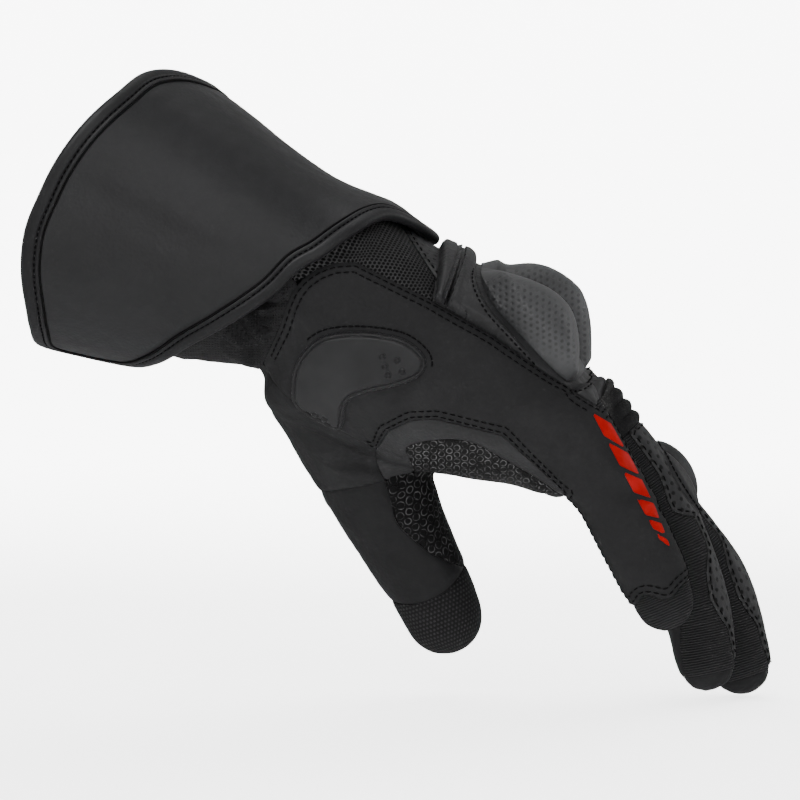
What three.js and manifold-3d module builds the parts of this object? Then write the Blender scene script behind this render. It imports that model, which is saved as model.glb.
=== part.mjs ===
// A long-cuff leather motorcycle glove for the right hand, in the shape that an unseen hand gives it.
// Millimetres, +Z up. X runs from the cuff to the fingers, the little finger is on the -Y side and the
// index finger on the +Y side. The origin is the middle of the wrist, where the glove sits on its wearer.

import * as THREE from 'three';
import { mergeVertices } from 'three/addons/utils/BufferGeometryUtils.js';
import Module from 'manifold-3d';

const wasm = await Module();
wasm.setup();

// Driving dimensions
const WALL = 2;
const SEAM = 0.3;
const REACH = 75;
const CUFF_THICKNESS = 2.2;
const CUFF_CLEARANCE = 1.45;
const CUFF_FLARE = 0.035;
const BINDING_WIDTH = 4;
const BINDING_PROUD = 0.6;
const SLIDER_HEIGHT = 3.4;
const ROLL_HEIGHT = 4.6;
const GUARD_BASE = 3.2;
// The dome on each finger: how far along it lies and how far it sits above the middle line, and half sizes
const RIDGE = { distance: 42, offset: 5, along: 14.5, across: 9.5, away: 11.4 };
const RIB_HEIGHT = 1.4;
const RIB_WIDTH = 2.6;
const RIB_PITCH = 4.4;
const RIB_COUNT = 3;
const RIB_LOW = 6;
const RIB_REACH = 7.5;
const WRIST_DISTANCE = 98.5;
const INNER_CUFF_START = 22;

// Sections of the arm and hand: the middle of each one, half its width, how far it rises to the back of
// the hand and drops to the palm, how far its top and bottom lean to the index side, and how square it is
const HAND_ROWS = [
  { x: -92, y: 4, z: 34.5, width: 45, rise: 48, drop: 45, leanUp: 0, leanDown: 0, square: 3 },
  { x: -69, y: 3, z: 25.6, width: 42, rise: 46, drop: 44, leanUp: 0, leanDown: 0, square: 3 },
  { x: -32, y: 1, z: 10.9, width: 37.5, rise: 39.3, drop: 38.8, leanUp: 0, leanDown: 0, square: 2.8 },
  { x: 0, y: 0, z: 0, width: 35, rise: 29.8, drop: 33, leanUp: 0, leanDown: 0, square: 2.5 },
  { x: 14, y: 0, z: -7, width: 37, rise: 31.4, drop: 43.5, leanUp: 0, leanDown: 0, square: 2.4 },
  { x: 30, y: 0, z: -16.5, width: 40, rise: 29.6, drop: 42, leanUp: 0, leanDown: 2, square: 2.4 },
  { x: 50, y: 0, z: -27.5, width: 43, rise: 31.8, drop: 39.5, leanUp: 2, leanDown: 8, square: 2.4 },
  { x: 68, y: 0, z: -38, width: 45, rise: 27, drop: 33, leanUp: 2, leanDown: 10, square: 2.3 },
  { x: 82, y: 0, z: -46.5, width: 45.5, rise: 19.5, drop: 25.5, leanUp: 2, leanDown: 8, square: 2.3 },
  { x: 94, y: 0, z: -54, width: 44, rise: 13, drop: 18.5, leanUp: 1, leanDown: 4, square: 2.3 },
];
const HAND_END = 7;

// The thumb hangs below the palm on the index side
const THUMB_ROWS = [
  { x: 9.5, y: 10, z: -36, width: 21, rise: 17, drop: 21, leanUp: 0, leanDown: 0, square: 2.1 },
  { x: 17.5, y: 15, z: -53.8, width: 19, rise: 19.4, drop: 19.3, leanUp: 0, leanDown: 0, square: 2.1 },
  { x: 28.2, y: 20, z: -73.5, width: 16, rise: 17, drop: 18.6, leanUp: 0, leanDown: 0, square: 2.1 },
  { x: 34.6, y: 22, z: -86.6, width: 14.5, rise: 15, drop: 17, leanUp: 0, leanDown: 0, square: 2.1 },
  { x: 41.4, y: 23.5, z: -99.7, width: 13.4, rise: 13.7, drop: 15.4, leanUp: 0, leanDown: 0, square: 2.1 },
  { x: 47.4, y: 24.5, z: -114, width: 12.4, rise: 13, drop: 13.2, leanUp: 0, leanDown: 0, square: 2.1 },
];
const THUMB_END = 13.5;

// Fingers: the middle of each joint, half the width and half the thickness there
const FINGERS = {
  little: {
    end: 10,
    rows: [
      { x: 84, y: -33, z: -38, width: 10.4, thick: 12 },
      { x: 97.9, y: -33.6, z: -62.2, width: 10.4, thick: 12 },
      { x: 107, y: -34.4, z: -79.7, width: 10.4, thick: 12 },
      { x: 114.9, y: -35.2, z: -95.8, width: 10.2, thick: 11.3 },
      { x: 118.2, y: -35.6, z: -103.4, width: 9.6, thick: 9.8 },
    ],
  },
  ring: {
    end: 11,
    rows: [
      { x: 90, y: -11, z: -38, width: 10.8, thick: 11.6 },
      { x: 109.4, y: -11.2, z: -63.6, width: 10.8, thick: 11.6 },
      { x: 119.6, y: -11.6, z: -80.8, width: 10.8, thick: 11.6 },
      { x: 128.8, y: -12, z: -105.4, width: 10.6, thick: 11.2 },
      { x: 132.8, y: -12.4, z: -124.5, width: 9.8, thick: 10.2 },
    ],
  },
  middle: {
    end: 11,
    rows: [
      { x: 87.5, y: 11.6, z: -38.7, width: 10.8, thick: 11.2 },
      { x: 107.3, y: 11.8, z: -61.3, width: 10.8, thick: 11.4 },
      { x: 121, y: 12, z: -80.3, width: 10.8, thick: 11.4 },
      { x: 137, y: 12, z: -102.6, width: 10.8, thick: 11.4 },
      { x: 145, y: 12, z: -128.4, width: 9.8, thick: 10.8 },
    ],
  },
  index: {
    end: 11,
    rows: [
      { x: 86, y: 34, z: -38, width: 10.6, thick: 11.6 },
      { x: 105.4, y: 34.4, z: -65.6, width: 10.6, thick: 11.4 },
      { x: 115.5, y: 35, z: -82.6, width: 10.6, thick: 11.4 },
      { x: 126, y: 35.4, z: -103, width: 10.4, thick: 11 },
      { x: 131, y: 35.6, z: -115.6, width: 9.8, thick: 10.2 },
    ],
  },
};
const FINGER_SQUARE = 2.2;
const BETWEEN = { littleRing: -22.8, ringMiddle: 0.4, middleIndex: 23.2 };

// Edges of the cuff flap, by the angle round the arm from the little-finger side towards the back of the
// hand: how far the rim and the front edge lie from the wrist, along the arm
const FLAP_EDGES = [
  { turn: -84, rim: -67, front: -43 },
  { turn: -77, rim: -71, front: -38 },
  { turn: -62, rim: -73, front: -33 },
  { turn: -40, rim: -76.5, front: -27 },
  { turn: -20, rim: -82.5, front: -15.5 },
  { turn: -5, rim: -86, front: -6 },
  { turn: 10, rim: -82, front: 2 },
  { turn: 30, rim: -76, front: 6 },
  { turn: 55, rim: -70, front: 11 },
  { turn: 75, rim: -61.5, front: 22 },
  { turn: 90, rim: -54, front: 31 },
  { turn: 104, rim: -48.5, front: 34.5 },
  { turn: 118, rim: -52, front: 32 },
  { turn: 135, rim: -64, front: 24 },
  { turn: 180, rim: -80, front: 4 },
  { turn: 225, rim: -75, front: -24 },
  { turn: 256, rim: -64, front: -44 },
];

// Seams and edges seen from the little-finger side, as [x, z]
const OUTLINES = {
  thumbAll: [[3.5, -73], [30, -67.5], [51, -66.5], [65.5, -93], [69, -139], [26, -139], [-3.5, -80]],
  thumbGusset: [[30, -60], [30, -74], [32, -82], [38, -88], [46, -93.5], [60.5, -97], [58, -73], [51, -60]],
  thumbTip: [[20, -110.5], [32.5, -110], [40, -109], [47.5, -105.5], [52.5, -101], [62, -92], [72, -139], [20, -139]],
  littleTip: [[98, -113], [107.5, -106], [111.5, -101], [119.5, -102], [125, -97], [136, -92], [136, -126], [104, -126]],
  sideHand: [
    [-5.5, 0], [4, 3], [15.5, 3.5], [44, -10], [63, -20.5], [98.5, -41.5], [102.5, -54], [98.5, -73.5],
    [90.5, -73], [80.5, -63.5], [65.5, -49.5], [44.5, -44.5], [36.5, -45], [29, -49], [25, -56], [14, -51],
    [-0.5, -44.5], [-7, -39.5], [-14, -29.5], [-10.5, -17.5],
  ],
  sideLittle: [[97.5, -41], [111.5, -37], [140, -86], [126, -97], [98, -116], [84, -76], [92, -57]],
  littleAll: [[92, -66], [97, -38], [140, -36], [140, -130], [90, -130], [80, -80]],
  wristMesh: [
    [-17, 8.5], [-9, -4], [4, 2.5], [15.5, 3], [29.5, -4.5], [42.5, -11], [44.5, 1], [33.5, 17.5],
    [30, 34], [10, 50], [-23, 50],
  ],
  wristStrip: [[33.5, 17.5], [44.5, 1], [48, 4.5], [48, 18], [37.5, 32], [30, 34]],
  innerCuff: [[-34, 80], [-12, 60], [-16, 8.5], [-5, -3], [-9.5, -17.5], [-12.5, -29.5], [-7, -38.5], [-16, -41], [-30, -80], [-84, -45]],
  beyondCuff: [[-34, 80], [-84, -45], [-150, -45], [-150, 110], [-34, 110]],
  back: [[44.5, 4.5], [42.5, -11], [63, -22.2], [98.5, -43], [109, -30], [98.5, 25], [46, 30]],
  knuckleCloth: [[97, -40], [92, -50], [92, -62], [100, -64], [125, -56], [125, -30], [109, -30]],
  radial: [[-8, 5], [15.5, 9], [44, -3], [78, -24], [98.5, -35], [104, -56], [92, -62], [46, -44], [-14, -26]],
  inset: [[25, -56.5], [29, -49], [36.5, -45], [44.5, -44.5], [65.5, -49.5], [78, -60], [86, -52], [104, -52], [104, -78], [85.5, -90], [42.5, -84], [27.5, -66]],
  grip: [[36.5, -61], [36, -54], [52, -51.5], [65.5, -57.5], [88, -74], [85.5, -92], [46, -86]],
  slider: [
    [-2, -37.5], [0, -29], [7, -21.5], [18.5, -19.5], [32, -21.5], [38.5, -25.5], [40.5, -29], [38, -33.5],
    [31.5, -36], [21, -38.5], [16, -41.5], [15, -49], [11.5, -50], [0, -43.5],
  ],
  guard: [[59, 9], [57.3, 0.5], [61, -8], [68, -16], [83, -31.5], [89, -34], [97, -30], [108, -20], [104, 25], [58.5, 25]],
  roll1: [[47.2, 25], [47.2, 9], [44, -10], [48.4, -12.8], [51.2, 4.5], [51.5, 25]],
  roll2: [[52.1, 25], [51.8, 4.5], [49, -13], [55, -16.8], [58, -8], [56.6, 0.5], [58.2, 9], [57.8, 25]],
};

// Bulges of the knuckle guard: middle, and half sizes along the hand, across it and away from it
const KNUCKLES = [
  { x: 72.2, y: -21, z: -17.7, along: 22, across: 18, away: 17.5 },
  { x: 73.7, y: 3, z: -18.4, along: 21.5, across: 13.5, away: 23 },
  { x: 70.3, y: 28, z: -18.9, along: 20, across: 15, away: 17 },
];
const HAND_SLOPE = 31;

const MATERIALS = {
  cuff_leather: { color: 0x2b2b2d, roughness: 0.45, metalness: 0 },
  suede: { color: 0x242426, roughness: 0.85, metalness: 0 },
  smooth_leather: { color: 0x353537, roughness: 0.5, metalness: 0 },
  stretch_cloth: { color: 0x161618, roughness: 0.9, metalness: 0 },
  mesh_cloth: { color: 0x1b1b1d, roughness: 0.85, metalness: 0 },
  moulded_guard: { color: 0x55565a, roughness: 0.35, metalness: 0 },
  moulded_pad: { color: 0x333436, roughness: 0.55, metalness: 0 },
};

// Small helpers

const radians = THREE.MathUtils.degToRad;
const Y_AXIS = new THREE.Vector3(0, 1, 0);

function catmullRom(a, b, c, d, t) {
  const square = t * t;
  const cube = square * t;
  return 0.5 * (2 * b + (c - a) * t + (2 * a - 5 * b + 4 * c - d) * square + (3 * b - a - 3 * c + d) * cube);
}

// Distances from one value to another, as near to the step as whole steps allow
function evenly(from, to, step) {
  const count = Math.max(1, Math.round((to - from) / step));
  return Array.from({ length: count + 1 }, (_, i) => from + ((to - from) * i) / count);
}

function linear(rows, key, value, column) {
  for (let i = 1; i < rows.length; i += 1) {
    if (value <= rows[i][key] || i === rows.length - 1) {
      const share = (value - rows[i - 1][key]) / (rows[i][key] - rows[i - 1][key]);
      return THREE.MathUtils.lerp(rows[i - 1][column], rows[i][column], share);
    }
  }
  return rows[0][column];
}

// A form is a tube of sections along a curved middle line, read at any distance along that line
function makeForm(rows, end) {
  const starts = [0];
  for (let i = 1; i < rows.length; i += 1) {
    const a = new THREE.Vector3(rows[i - 1].x, rows[i - 1].y, rows[i - 1].z);
    const b = new THREE.Vector3(rows[i].x, rows[i].y, rows[i].z);
    starts.push(starts[i - 1] + a.distanceTo(b));
  }
  const length = starts[rows.length - 1];
  const last = rows.length - 1;

  function read(distance) {
    let span = 0;
    while (span < last - 1 && distance > starts[span + 1]) span += 1;
    const share = (distance - starts[span]) / (starts[span + 1] - starts[span]);
    const row = {};
    for (const column of Object.keys(rows[0])) {
      const before = rows[span][column];
      const after = rows[span + 1][column];
      const first = span > 0 ? rows[span - 1][column] : 2 * before - after;
      const fourth = span < last - 1 ? rows[span + 2][column] : 2 * after - before;
      row[column] = catmullRom(first, before, after, fourth, share);
    }
    return row;
  }

  function at(distance) {
    const inside = THREE.MathUtils.clamp(distance, 0, length);
    const row = read(inside);
    const step = 0.5;
    const a = read(Math.max(inside - step, 0));
    const b = read(Math.min(inside + step, length));
    const along = new THREE.Vector3(b.x - a.x, b.y - a.y, b.z - a.z).normalize();
    const up = along.clone().cross(Y_AXIS).normalize();
    const across = up.clone().cross(along);
    const centre = new THREE.Vector3(row.x, row.y, row.z).addScaledVector(along, distance - inside);
    return { ...row, centre, along, up, across };
  }

  return { at, length, end };
}

// A point of a section. The turn is 0 on the little-finger side, 90 degrees at the back of the hand.
function sectionPoint(s, turn, grow, scale = 1) {
  const c = Math.cos(turn);
  const n = Math.sin(turn);
  const power = 2 / s.square;
  const across = -Math.sign(c) * Math.abs(c) ** power * (s.width + grow) * scale;
  const lean = (n > 0 ? s.leanUp : s.leanDown) * n * n * scale;
  const away = Math.sign(n) * Math.abs(n) ** power * ((n > 0 ? s.rise : s.drop) + grow) * scale;
  return s.centre.clone().addScaledVector(s.across, across + lean).addScaledVector(s.up, away);
}

function solidOf(points, triangles) {
  const positions = new Float32Array(points.length * 3);
  points.forEach((p, i) => p.toArray(positions, i * 3));
  return new wasm.Manifold(new wasm.Mesh({
    numProp: 3,
    vertProperties: positions,
    triVerts: new Uint32Array(triangles.flat()),
  }));
}

// The solid inside a form's skin moved out by grow, with rings at the given distances and a round far end
function formSolid(form, grow, { from = 0, step, sides, endRings }) {
  const to = form.length;
  const rings = [];
  const ring = (s, scale) => Array.from({ length: sides }, (_, i) =>
    sectionPoint(s, (i / sides) * 2 * Math.PI, grow, scale));
  for (const distance of evenly(from, to, step)) {
    rings.push(ring(form.at(distance), 1));
  }
  for (let i = 1; i < endRings; i += 1) {
    const angle = (i / endRings) * (Math.PI / 2);
    const s = form.at(to + (form.end + grow) * Math.sin(angle));
    rings.push(ring(s, Math.cos(angle)));
  }
  const points = rings.flat();
  const start = points.push(form.at(from).centre) - 1;
  const tip = points.push(form.at(to + form.end + grow).centre) - 1;
  const triangles = [];
  const lastRing = (rings.length - 1) * sides;
  for (let k = 0; k < sides; k += 1) {
    const next = (k + 1) % sides;
    triangles.push([start, next, k]);
    triangles.push([tip, lastRing + k, lastRing + next]);
    for (let r = 0; r < rings.length - 1; r += 1) {
      const a = r * sides + k;
      const b = r * sides + next;
      triangles.push([a, b, b + sides], [a, b + sides, a + sides]);
    }
  }
  return turnedOut(points, triangles);
}

// Makes the solid with its faces pointing out, whichever way the rings ran
function turnedOut(points, triangles) {
  let sum = 0;
  for (const [a, b, c] of triangles) {
    sum += points[a].dot(points[b].clone().cross(points[c]));
  }
  const faces = sum < 0 ? triangles.map(([a, b, c]) => [a, c, b]) : triangles;
  return solidOf(points, faces);
}

// A closed sheet between an inner and an outer grid of points
function sheet(across, rows, point) {
  const points = [];
  const columns = across.length - 1;
  for (const outside of [true, false]) {
    for (const u of across) {
      for (let j = 0; j <= rows; j += 1) {
        points.push(point(u, j / rows, outside));
      }
    }
  }
  const layer = (columns + 1) * (rows + 1);
  const id = (i, j, side) => side * layer + i * (rows + 1) + j;
  const triangles = [];
  const quad = (a, b, c, d) => triangles.push([a, b, c], [a, c, d]);
  for (let i = 0; i < columns; i += 1) {
    for (let j = 0; j < rows; j += 1) {
      quad(id(i, j, 0), id(i + 1, j, 0), id(i + 1, j + 1, 0), id(i, j + 1, 0));
      quad(id(i, j, 1), id(i, j + 1, 1), id(i + 1, j + 1, 1), id(i + 1, j, 1));
    }
    quad(id(i, 0, 0), id(i, 0, 1), id(i + 1, 0, 1), id(i + 1, 0, 0));
    quad(id(i, rows, 0), id(i + 1, rows, 0), id(i + 1, rows, 1), id(i, rows, 1));
  }
  for (let j = 0; j < rows; j += 1) {
    quad(id(0, j, 0), id(0, j + 1, 0), id(0, j + 1, 1), id(0, j, 1));
    quad(id(columns, j, 0), id(columns, j, 1), id(columns, j + 1, 1), id(columns, j + 1, 0));
  }
  return turnedOut(points, triangles);
}

function solidFromGeometry(geometry, tolerance = 1e-4) {
  geometry.deleteAttribute('normal');
  geometry.deleteAttribute('uv');
  const merged = mergeVertices(geometry, tolerance);
  return new wasm.Manifold(new wasm.Mesh({
    numProp: 3,
    vertProperties: new Float32Array(merged.attributes.position.array),
    triVerts: new Uint32Array(merged.index.array),
  }));
}

function geometryOf(solid) {
  const mesh = solid.getMesh();
  const geometry = new THREE.BufferGeometry();
  geometry.setAttribute('position', new THREE.BufferAttribute(mesh.vertProperties, 3));
  geometry.setIndex(new THREE.BufferAttribute(mesh.triVerts, 1));
  return geometry;
}

// An outline seen from the little-finger side, carried through from one Y to another
function prism(outline, fromY = -REACH, toY = REACH) {
  const shape = new THREE.Shape(outline.map(([x, z]) => new THREE.Vector2(x, z)));
  const geometry = new THREE.ExtrudeGeometry(shape, { depth: toY - fromY, bevelEnabled: false });
  geometry.rotateX(Math.PI / 2);
  geometry.translate(0, toY, 0);
  return solidFromGeometry(geometry);
}

// The same outline with every edge moved out by a distance
function widened(outline, distance) {
  const area = outline.reduce((sum, [x, z], i) => {
    const [nx, nz] = outline[(i + 1) % outline.length];
    return sum + x * nz - nx * z;
  }, 0);
  const sign = Math.sign(area);
  const normal = ([ax, az], [bx, bz]) => {
    const size = Math.hypot(bx - ax, bz - az);
    return [(sign * (bz - az)) / size, (-sign * (bx - ax)) / size];
  };
  return outline.map((p, i) => {
    const before = normal(outline[(i + outline.length - 1) % outline.length], p);
    const after = normal(p, outline[(i + 1) % outline.length]);
    const scale = distance / Math.max(0.35, 1 + before[0] * after[0] + before[1] * after[1]);
    return [p[0] + (before[0] + after[0]) * scale, p[1] + (before[1] + after[1]) * scale];
  });
}

// Forms of the arm and hand, the thumb and the fingers

const handForm = makeForm(HAND_ROWS, HAND_END);
const thumbForm = makeForm(THUMB_ROWS, THUMB_END);
const fingerForms = {};
for (const [name, finger] of Object.entries(FINGERS)) {
  const rows = finger.rows.map(({ x, y, z, width, thick }) => ({
    x, y, z, width, rise: thick, drop: thick, leanUp: 0, leanDown: 0, square: FINGER_SQUARE,
  }));
  fingerForms[name] = makeForm(rows, finger.end);
}

// Numbers of sides and end rings: fine for the faces that show, coarse for the inside
const FINE = { hand: 18, thumb: 12, finger: 10, end: 3 };
const COARSE = { hand: 12, thumb: 8, finger: 6, end: 2 };

function wholeForm(grow, sides = FINE, from = INNER_CUFF_START) {
  const endRings = sides.end;
  let solid = formSolid(handForm, grow, { from, sides: sides.hand, step: 17, endRings });
  solid = solid.add(formSolid(thumbForm, grow, { sides: sides.thumb, step: 16, endRings }));
  for (const form of Object.values(fingerForms)) {
    solid = solid.add(formSolid(form, grow, { sides: sides.finger, step: 25, endRings }));
  }
  return solid;
}

const outer = wholeForm(0);
const inner = wholeForm(-WALL, COARSE, INNER_CUFF_START - 3);
const clear = wholeForm(SEAM);
let rest = outer.subtract(inner);

// Scene graph

const glove = new THREE.Group();

// Adds a mesh of the biggest body of a solid, so that no sliver of a cut stays
function addNode(name, material, solid) {
  const merged = solidFromGeometry(geometryOf(solid), 1e-3);
  const [body] = merged.decompose().sort((a, b) => b.volume() - a.volume());
  const mesh = new THREE.Mesh(geometryOf(body), new THREE.MeshStandardMaterial(MATERIALS[material]));
  mesh.name = name;
  glove.add(mesh);
}

// Takes a panel out of what is left of the shell, and keeps a seam's gap round it
function panel(name, material, pieces) {
  let region = null;
  let around = null;
  for (const { outline, from = -REACH, to = REACH } of pieces) {
    const cut = prism(outline, from, to);
    const wide = prism(widened(outline, SEAM), from - SEAM, to + SEAM);
    region = region ? region.add(cut) : cut;
    around = around ? around.add(wide) : wide;
  }
  addNode(name, material, rest.intersect(region));
  rest = rest.subtract(around);
}

// Thumb
panel('thumb_tip', 'stretch_cloth', [{ outline: OUTLINES.thumbTip }]);
panel('thumb_gusset', 'stretch_cloth', [{ outline: OUTLINES.thumbGusset, from: -10, to: 21 }]);
panel('thumb_back', 'smooth_leather', [{ outline: OUTLINES.thumbAll }]);

// Little finger
panel('little_tip', 'stretch_cloth', [{ outline: OUTLINES.littleTip, to: BETWEEN.littleRing }]);
panel('side_panel', 'suede', [
  { outline: OUTLINES.sideHand, to: -4 },
  { outline: OUTLINES.sideLittle, to: -34 },
]);
panel('little_inner', 'stretch_cloth', [{ outline: OUTLINES.littleAll, to: BETWEEN.littleRing }]);

// A point beside the middle line of a finger, seen from the side
function besideFinger(form, distance, offset) {
  const s = form.at(distance);
  return [s.centre.x + s.up.x * offset, s.centre.z + s.up.z * offset];
}

// The strip of a finger between two distances from its middle line
function fingerStrip(form, fromOffset, toOffset, start, end, steps = 5) {
  const line = (offset) => evenly(start, end, (end - start) / steps)
    .map((distance) => besideFinger(form, distance, offset));
  return [...line(toOffset), ...line(fromOffset).reverse()];
}

// The leather on the back of a finger reaches down its side by the shares of its length in this table,
// widest over the middle joint and narrow behind it
const BACK_EDGE = [
  { share: 0.46, offset: 4.5 },
  { share: 0.49, offset: 8.5 },
  { share: 0.6, offset: 8.5 },
  { share: 0.72, offset: 5.5 },
  { share: 0.82, offset: 8.5 },
];

function backOutline(form, root, end) {
  const reach = form.length + form.end;
  const lower = [
    besideFinger(form, root, BACK_EDGE[0].offset),
    ...BACK_EDGE.map(({ share, offset }) => besideFinger(form, share * reach, offset)),
    besideFinger(form, end, BACK_EDGE[BACK_EDGE.length - 1].offset),
  ];
  const upper = evenly(root, end, (end - root) / 3).map((distance) => besideFinger(form, distance, 40));
  return [...upper, ...lower.reverse()];
}

const RANGES = {
  ring: [BETWEEN.littleRing, BETWEEN.ringMiddle],
  middle: [BETWEEN.ringMiddle, BETWEEN.middleIndex],
  index: [BETWEEN.middleIndex, REACH],
};
const ROOT_DISTANCE = { ring: 19, middle: 22, index: 17 };

for (const name of Object.keys(RANGES)) {
  const form = fingerForms[name];
  const [from, to] = RANGES[name];
  const centreY = form.at(form.length / 2).centre.y;
  const root = ROOT_DISTANCE[name];
  const reach = form.length + form.end;
  const back = backOutline(form, root, reach - 5);
  const side = fingerStrip(form, -7, 14, root, reach - 6);
  const front = fingerStrip(form, -40, 40, root, reach + 6);
  panel(`${name}_back`, 'smooth_leather', [{ outline: back, from, to }]);
  panel(`${name}_side_ulnar`, 'stretch_cloth', [{ outline: side, from, to: centreY }]);
  panel(`${name}_side_radial`, 'stretch_cloth', [{ outline: side, from: centreY, to }]);
  panel(`${name}_front`, 'smooth_leather', [{ outline: front, from, to }]);
}

// Hand and arm
rest = rest.subtract(prism(OUTLINES.beyondCuff));
panel('inner_cuff', 'stretch_cloth', [{ outline: OUTLINES.innerCuff }]);
panel('wrist_mesh', 'mesh_cloth', [{ outline: OUTLINES.wristMesh }]);
panel('wrist_strip', 'smooth_leather', [{ outline: OUTLINES.wristStrip }]);
panel('back_panel', 'smooth_leather', [{ outline: OUTLINES.back }]);
const knuckleRegion = prism(OUTLINES.knuckleCloth).subtract(prism(widened(OUTLINES.back, SEAM)));
const knuckleCloth = rest.intersect(knuckleRegion);
rest = rest.subtract(prism(widened(OUTLINES.knuckleCloth, SEAM)));
panel('radial_panel', 'suede', [{ outline: OUTLINES.radial, from: 4 }]);
panel('grip_insert', 'moulded_pad', [{ outline: OUTLINES.grip, to: 26 }]);
panel('palm_inset', 'smooth_leather', [{ outline: OUTLINES.inset, to: 30 }]);
addNode('palm_main', 'suede', rest);

// Pieces that lie on the shell, from a seam's gap above it up to a height
function layer(height) {
  return wholeForm(height).subtract(clear);
}

// The cloth over each finger root is folded into ribs across the finger
const ribs = [];
for (const [name, [from, to]] of Object.entries(RANGES)) {
  const form = fingerForms[name];
  const skin = formSolid(form, RIB_HEIGHT, { sides: 8, step: 25, endRings: 2 });
  for (let i = 1; i <= RIB_COUNT; i += 1) {
    const start = ROOT_DISTANCE[name] - i * RIB_PITCH;
    const strip = fingerStrip(form, RIB_LOW, REACH, start, start + RIB_WIDTH, 1);
    const low = Math.max(from + SEAM, form.at(0).centre.y - RIB_REACH);
    const high = Math.min(to - SEAM, form.at(0).centre.y + RIB_REACH);
    ribs.push(skin.intersect(prism(strip, low, high)));
  }
}
const ribRow = wasm.Manifold.union(ribs)
  .subtract(inner)
  .subtract(prism(widened(OUTLINES.sideHand, SEAM), -REACH, -4 + SEAM))
  .intersect(knuckleRegion);
addNode('knuckle_cloth', 'mesh_cloth', knuckleCloth.add(ribRow));

addNode('palm_slider', 'moulded_pad', layer(SLIDER_HEIGHT).intersect(prism(OUTLINES.slider, -REACH, -4)));

let guard = layer(GUARD_BASE).intersect(prism(OUTLINES.guard, -36, 42));
for (const { x, y, z, along, across, away } of KNUCKLES) {
  const ball = new THREE.SphereGeometry(1, 10, 6);
  ball.scale(along, across, away);
  ball.rotateY(radians(HAND_SLOPE));
  ball.translate(x, y, z);
  guard = guard.add(solidFromGeometry(ball));
}
guard = guard.intersect(prism(OUTLINES.guard)).subtract(clear);
addNode('knuckle_guard', 'moulded_guard', guard);

const rolls = layer(ROLL_HEIGHT).subtract(prism(widened(OUTLINES.guard, SEAM)));
addNode('strap_roll_1', 'smooth_leather', rolls.intersect(prism(OUTLINES.roll1)));
addNode('strap_roll_2', 'smooth_leather', rolls.intersect(prism(OUTLINES.roll2)));

// Padded domes on the backs of the fingers
for (const name of Object.keys(RANGES)) {
  const s = fingerForms[name].at(RIDGE.distance);
  const centre = s.centre.clone().addScaledVector(s.up, RIDGE.offset);
  const ball = new THREE.SphereGeometry(1, 10, 6);
  ball.scale(RIDGE.along, RIDGE.across, RIDGE.away);
  ball.rotateY(Math.atan2(-s.along.z, s.along.x));
  ball.translate(...centre.toArray());
  addNode(`${name}_ridge`, 'smooth_leather', solidFromGeometry(ball).subtract(clear));
}

// Cuff flap and its binding
const flapStart = FLAP_EDGES[0].turn;
const flapEnd = FLAP_EDGES[FLAP_EDGES.length - 1].turn;
const BINDING_TURN = 5.5;
const insetTurn = BINDING_TURN + 0.5;
const FLAP_TURNS = [
  flapStart, flapStart + BINDING_TURN, ...evenly(flapStart + insetTurn, flapEnd - insetTurn, 16),
  flapEnd - BINDING_TURN, flapEnd,
];

function flapPoint(turn, distance, outside, proud) {
  const flare = CUFF_FLARE * Math.max(0, 20 - distance);
  const inside = CUFF_CLEARANCE + flare;
  const grow = outside ? inside + CUFF_THICKNESS + proud : inside - proud / 2;
  return sectionPoint(handForm.at(WRIST_DISTANCE + distance), radians(turn), grow);
}

// A part of the flap between two turns. Its columns share the same turns, so its parts keep their gap.
function flapSheet(fromTurn, toTurn, rows, proud, span) {
  const turns = FLAP_TURNS.filter((turn) => turn >= fromTurn && turn <= toTurn);
  return sheet(turns, rows, (turn, v, outside) => {
    const rim = linear(FLAP_EDGES, 'turn', turn, 'rim');
    const front = linear(FLAP_EDGES, 'turn', turn, 'front');
    const [low, high] = span(rim, front);
    return flapPoint(turn, THREE.MathUtils.lerp(low, high, v), outside, proud);
  });
}

const inset = BINDING_WIDTH + SEAM;
addNode('cuff_flap', 'cuff_leather', flapSheet(
  flapStart + insetTurn, flapEnd - insetTurn, 5, 0, (rim, front) => [rim + inset, front - inset],
));
const binding = flapSheet(flapStart, flapEnd, 1, BINDING_PROUD, (rim) => [rim, rim + BINDING_WIDTH])
  .add(flapSheet(flapStart, flapEnd, 1, BINDING_PROUD, (rim, front) => [front - BINDING_WIDTH, front]))
  .add(flapSheet(flapStart, flapStart + BINDING_TURN, 3, BINDING_PROUD, (rim, front) => [rim, front]))
  .add(flapSheet(flapEnd - BINDING_TURN, flapEnd, 3, BINDING_PROUD, (rim, front) => [rim, front]));
addNode('cuff_binding', 'cuff_leather', binding);

export default glove;
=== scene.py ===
import math

import bmesh
import bpy
import numpy as np
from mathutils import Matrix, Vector
from mathutils.kdtree import KDTree


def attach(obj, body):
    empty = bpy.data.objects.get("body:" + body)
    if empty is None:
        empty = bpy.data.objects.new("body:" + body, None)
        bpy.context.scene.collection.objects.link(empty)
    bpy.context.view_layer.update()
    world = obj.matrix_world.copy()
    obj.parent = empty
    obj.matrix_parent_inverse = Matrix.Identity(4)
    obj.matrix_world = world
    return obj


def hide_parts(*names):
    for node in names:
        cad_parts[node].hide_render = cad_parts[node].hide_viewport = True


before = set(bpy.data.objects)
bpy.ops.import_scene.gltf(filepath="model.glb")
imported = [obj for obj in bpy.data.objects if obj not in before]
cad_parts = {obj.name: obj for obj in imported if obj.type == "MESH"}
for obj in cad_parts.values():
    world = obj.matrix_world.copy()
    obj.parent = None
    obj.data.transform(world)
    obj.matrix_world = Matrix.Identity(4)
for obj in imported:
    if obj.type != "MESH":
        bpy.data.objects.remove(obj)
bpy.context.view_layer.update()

# Sizes in millimetres
MM = 0.001
WALL = 1.7
GAP = 0.12
REACH = 75
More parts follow.
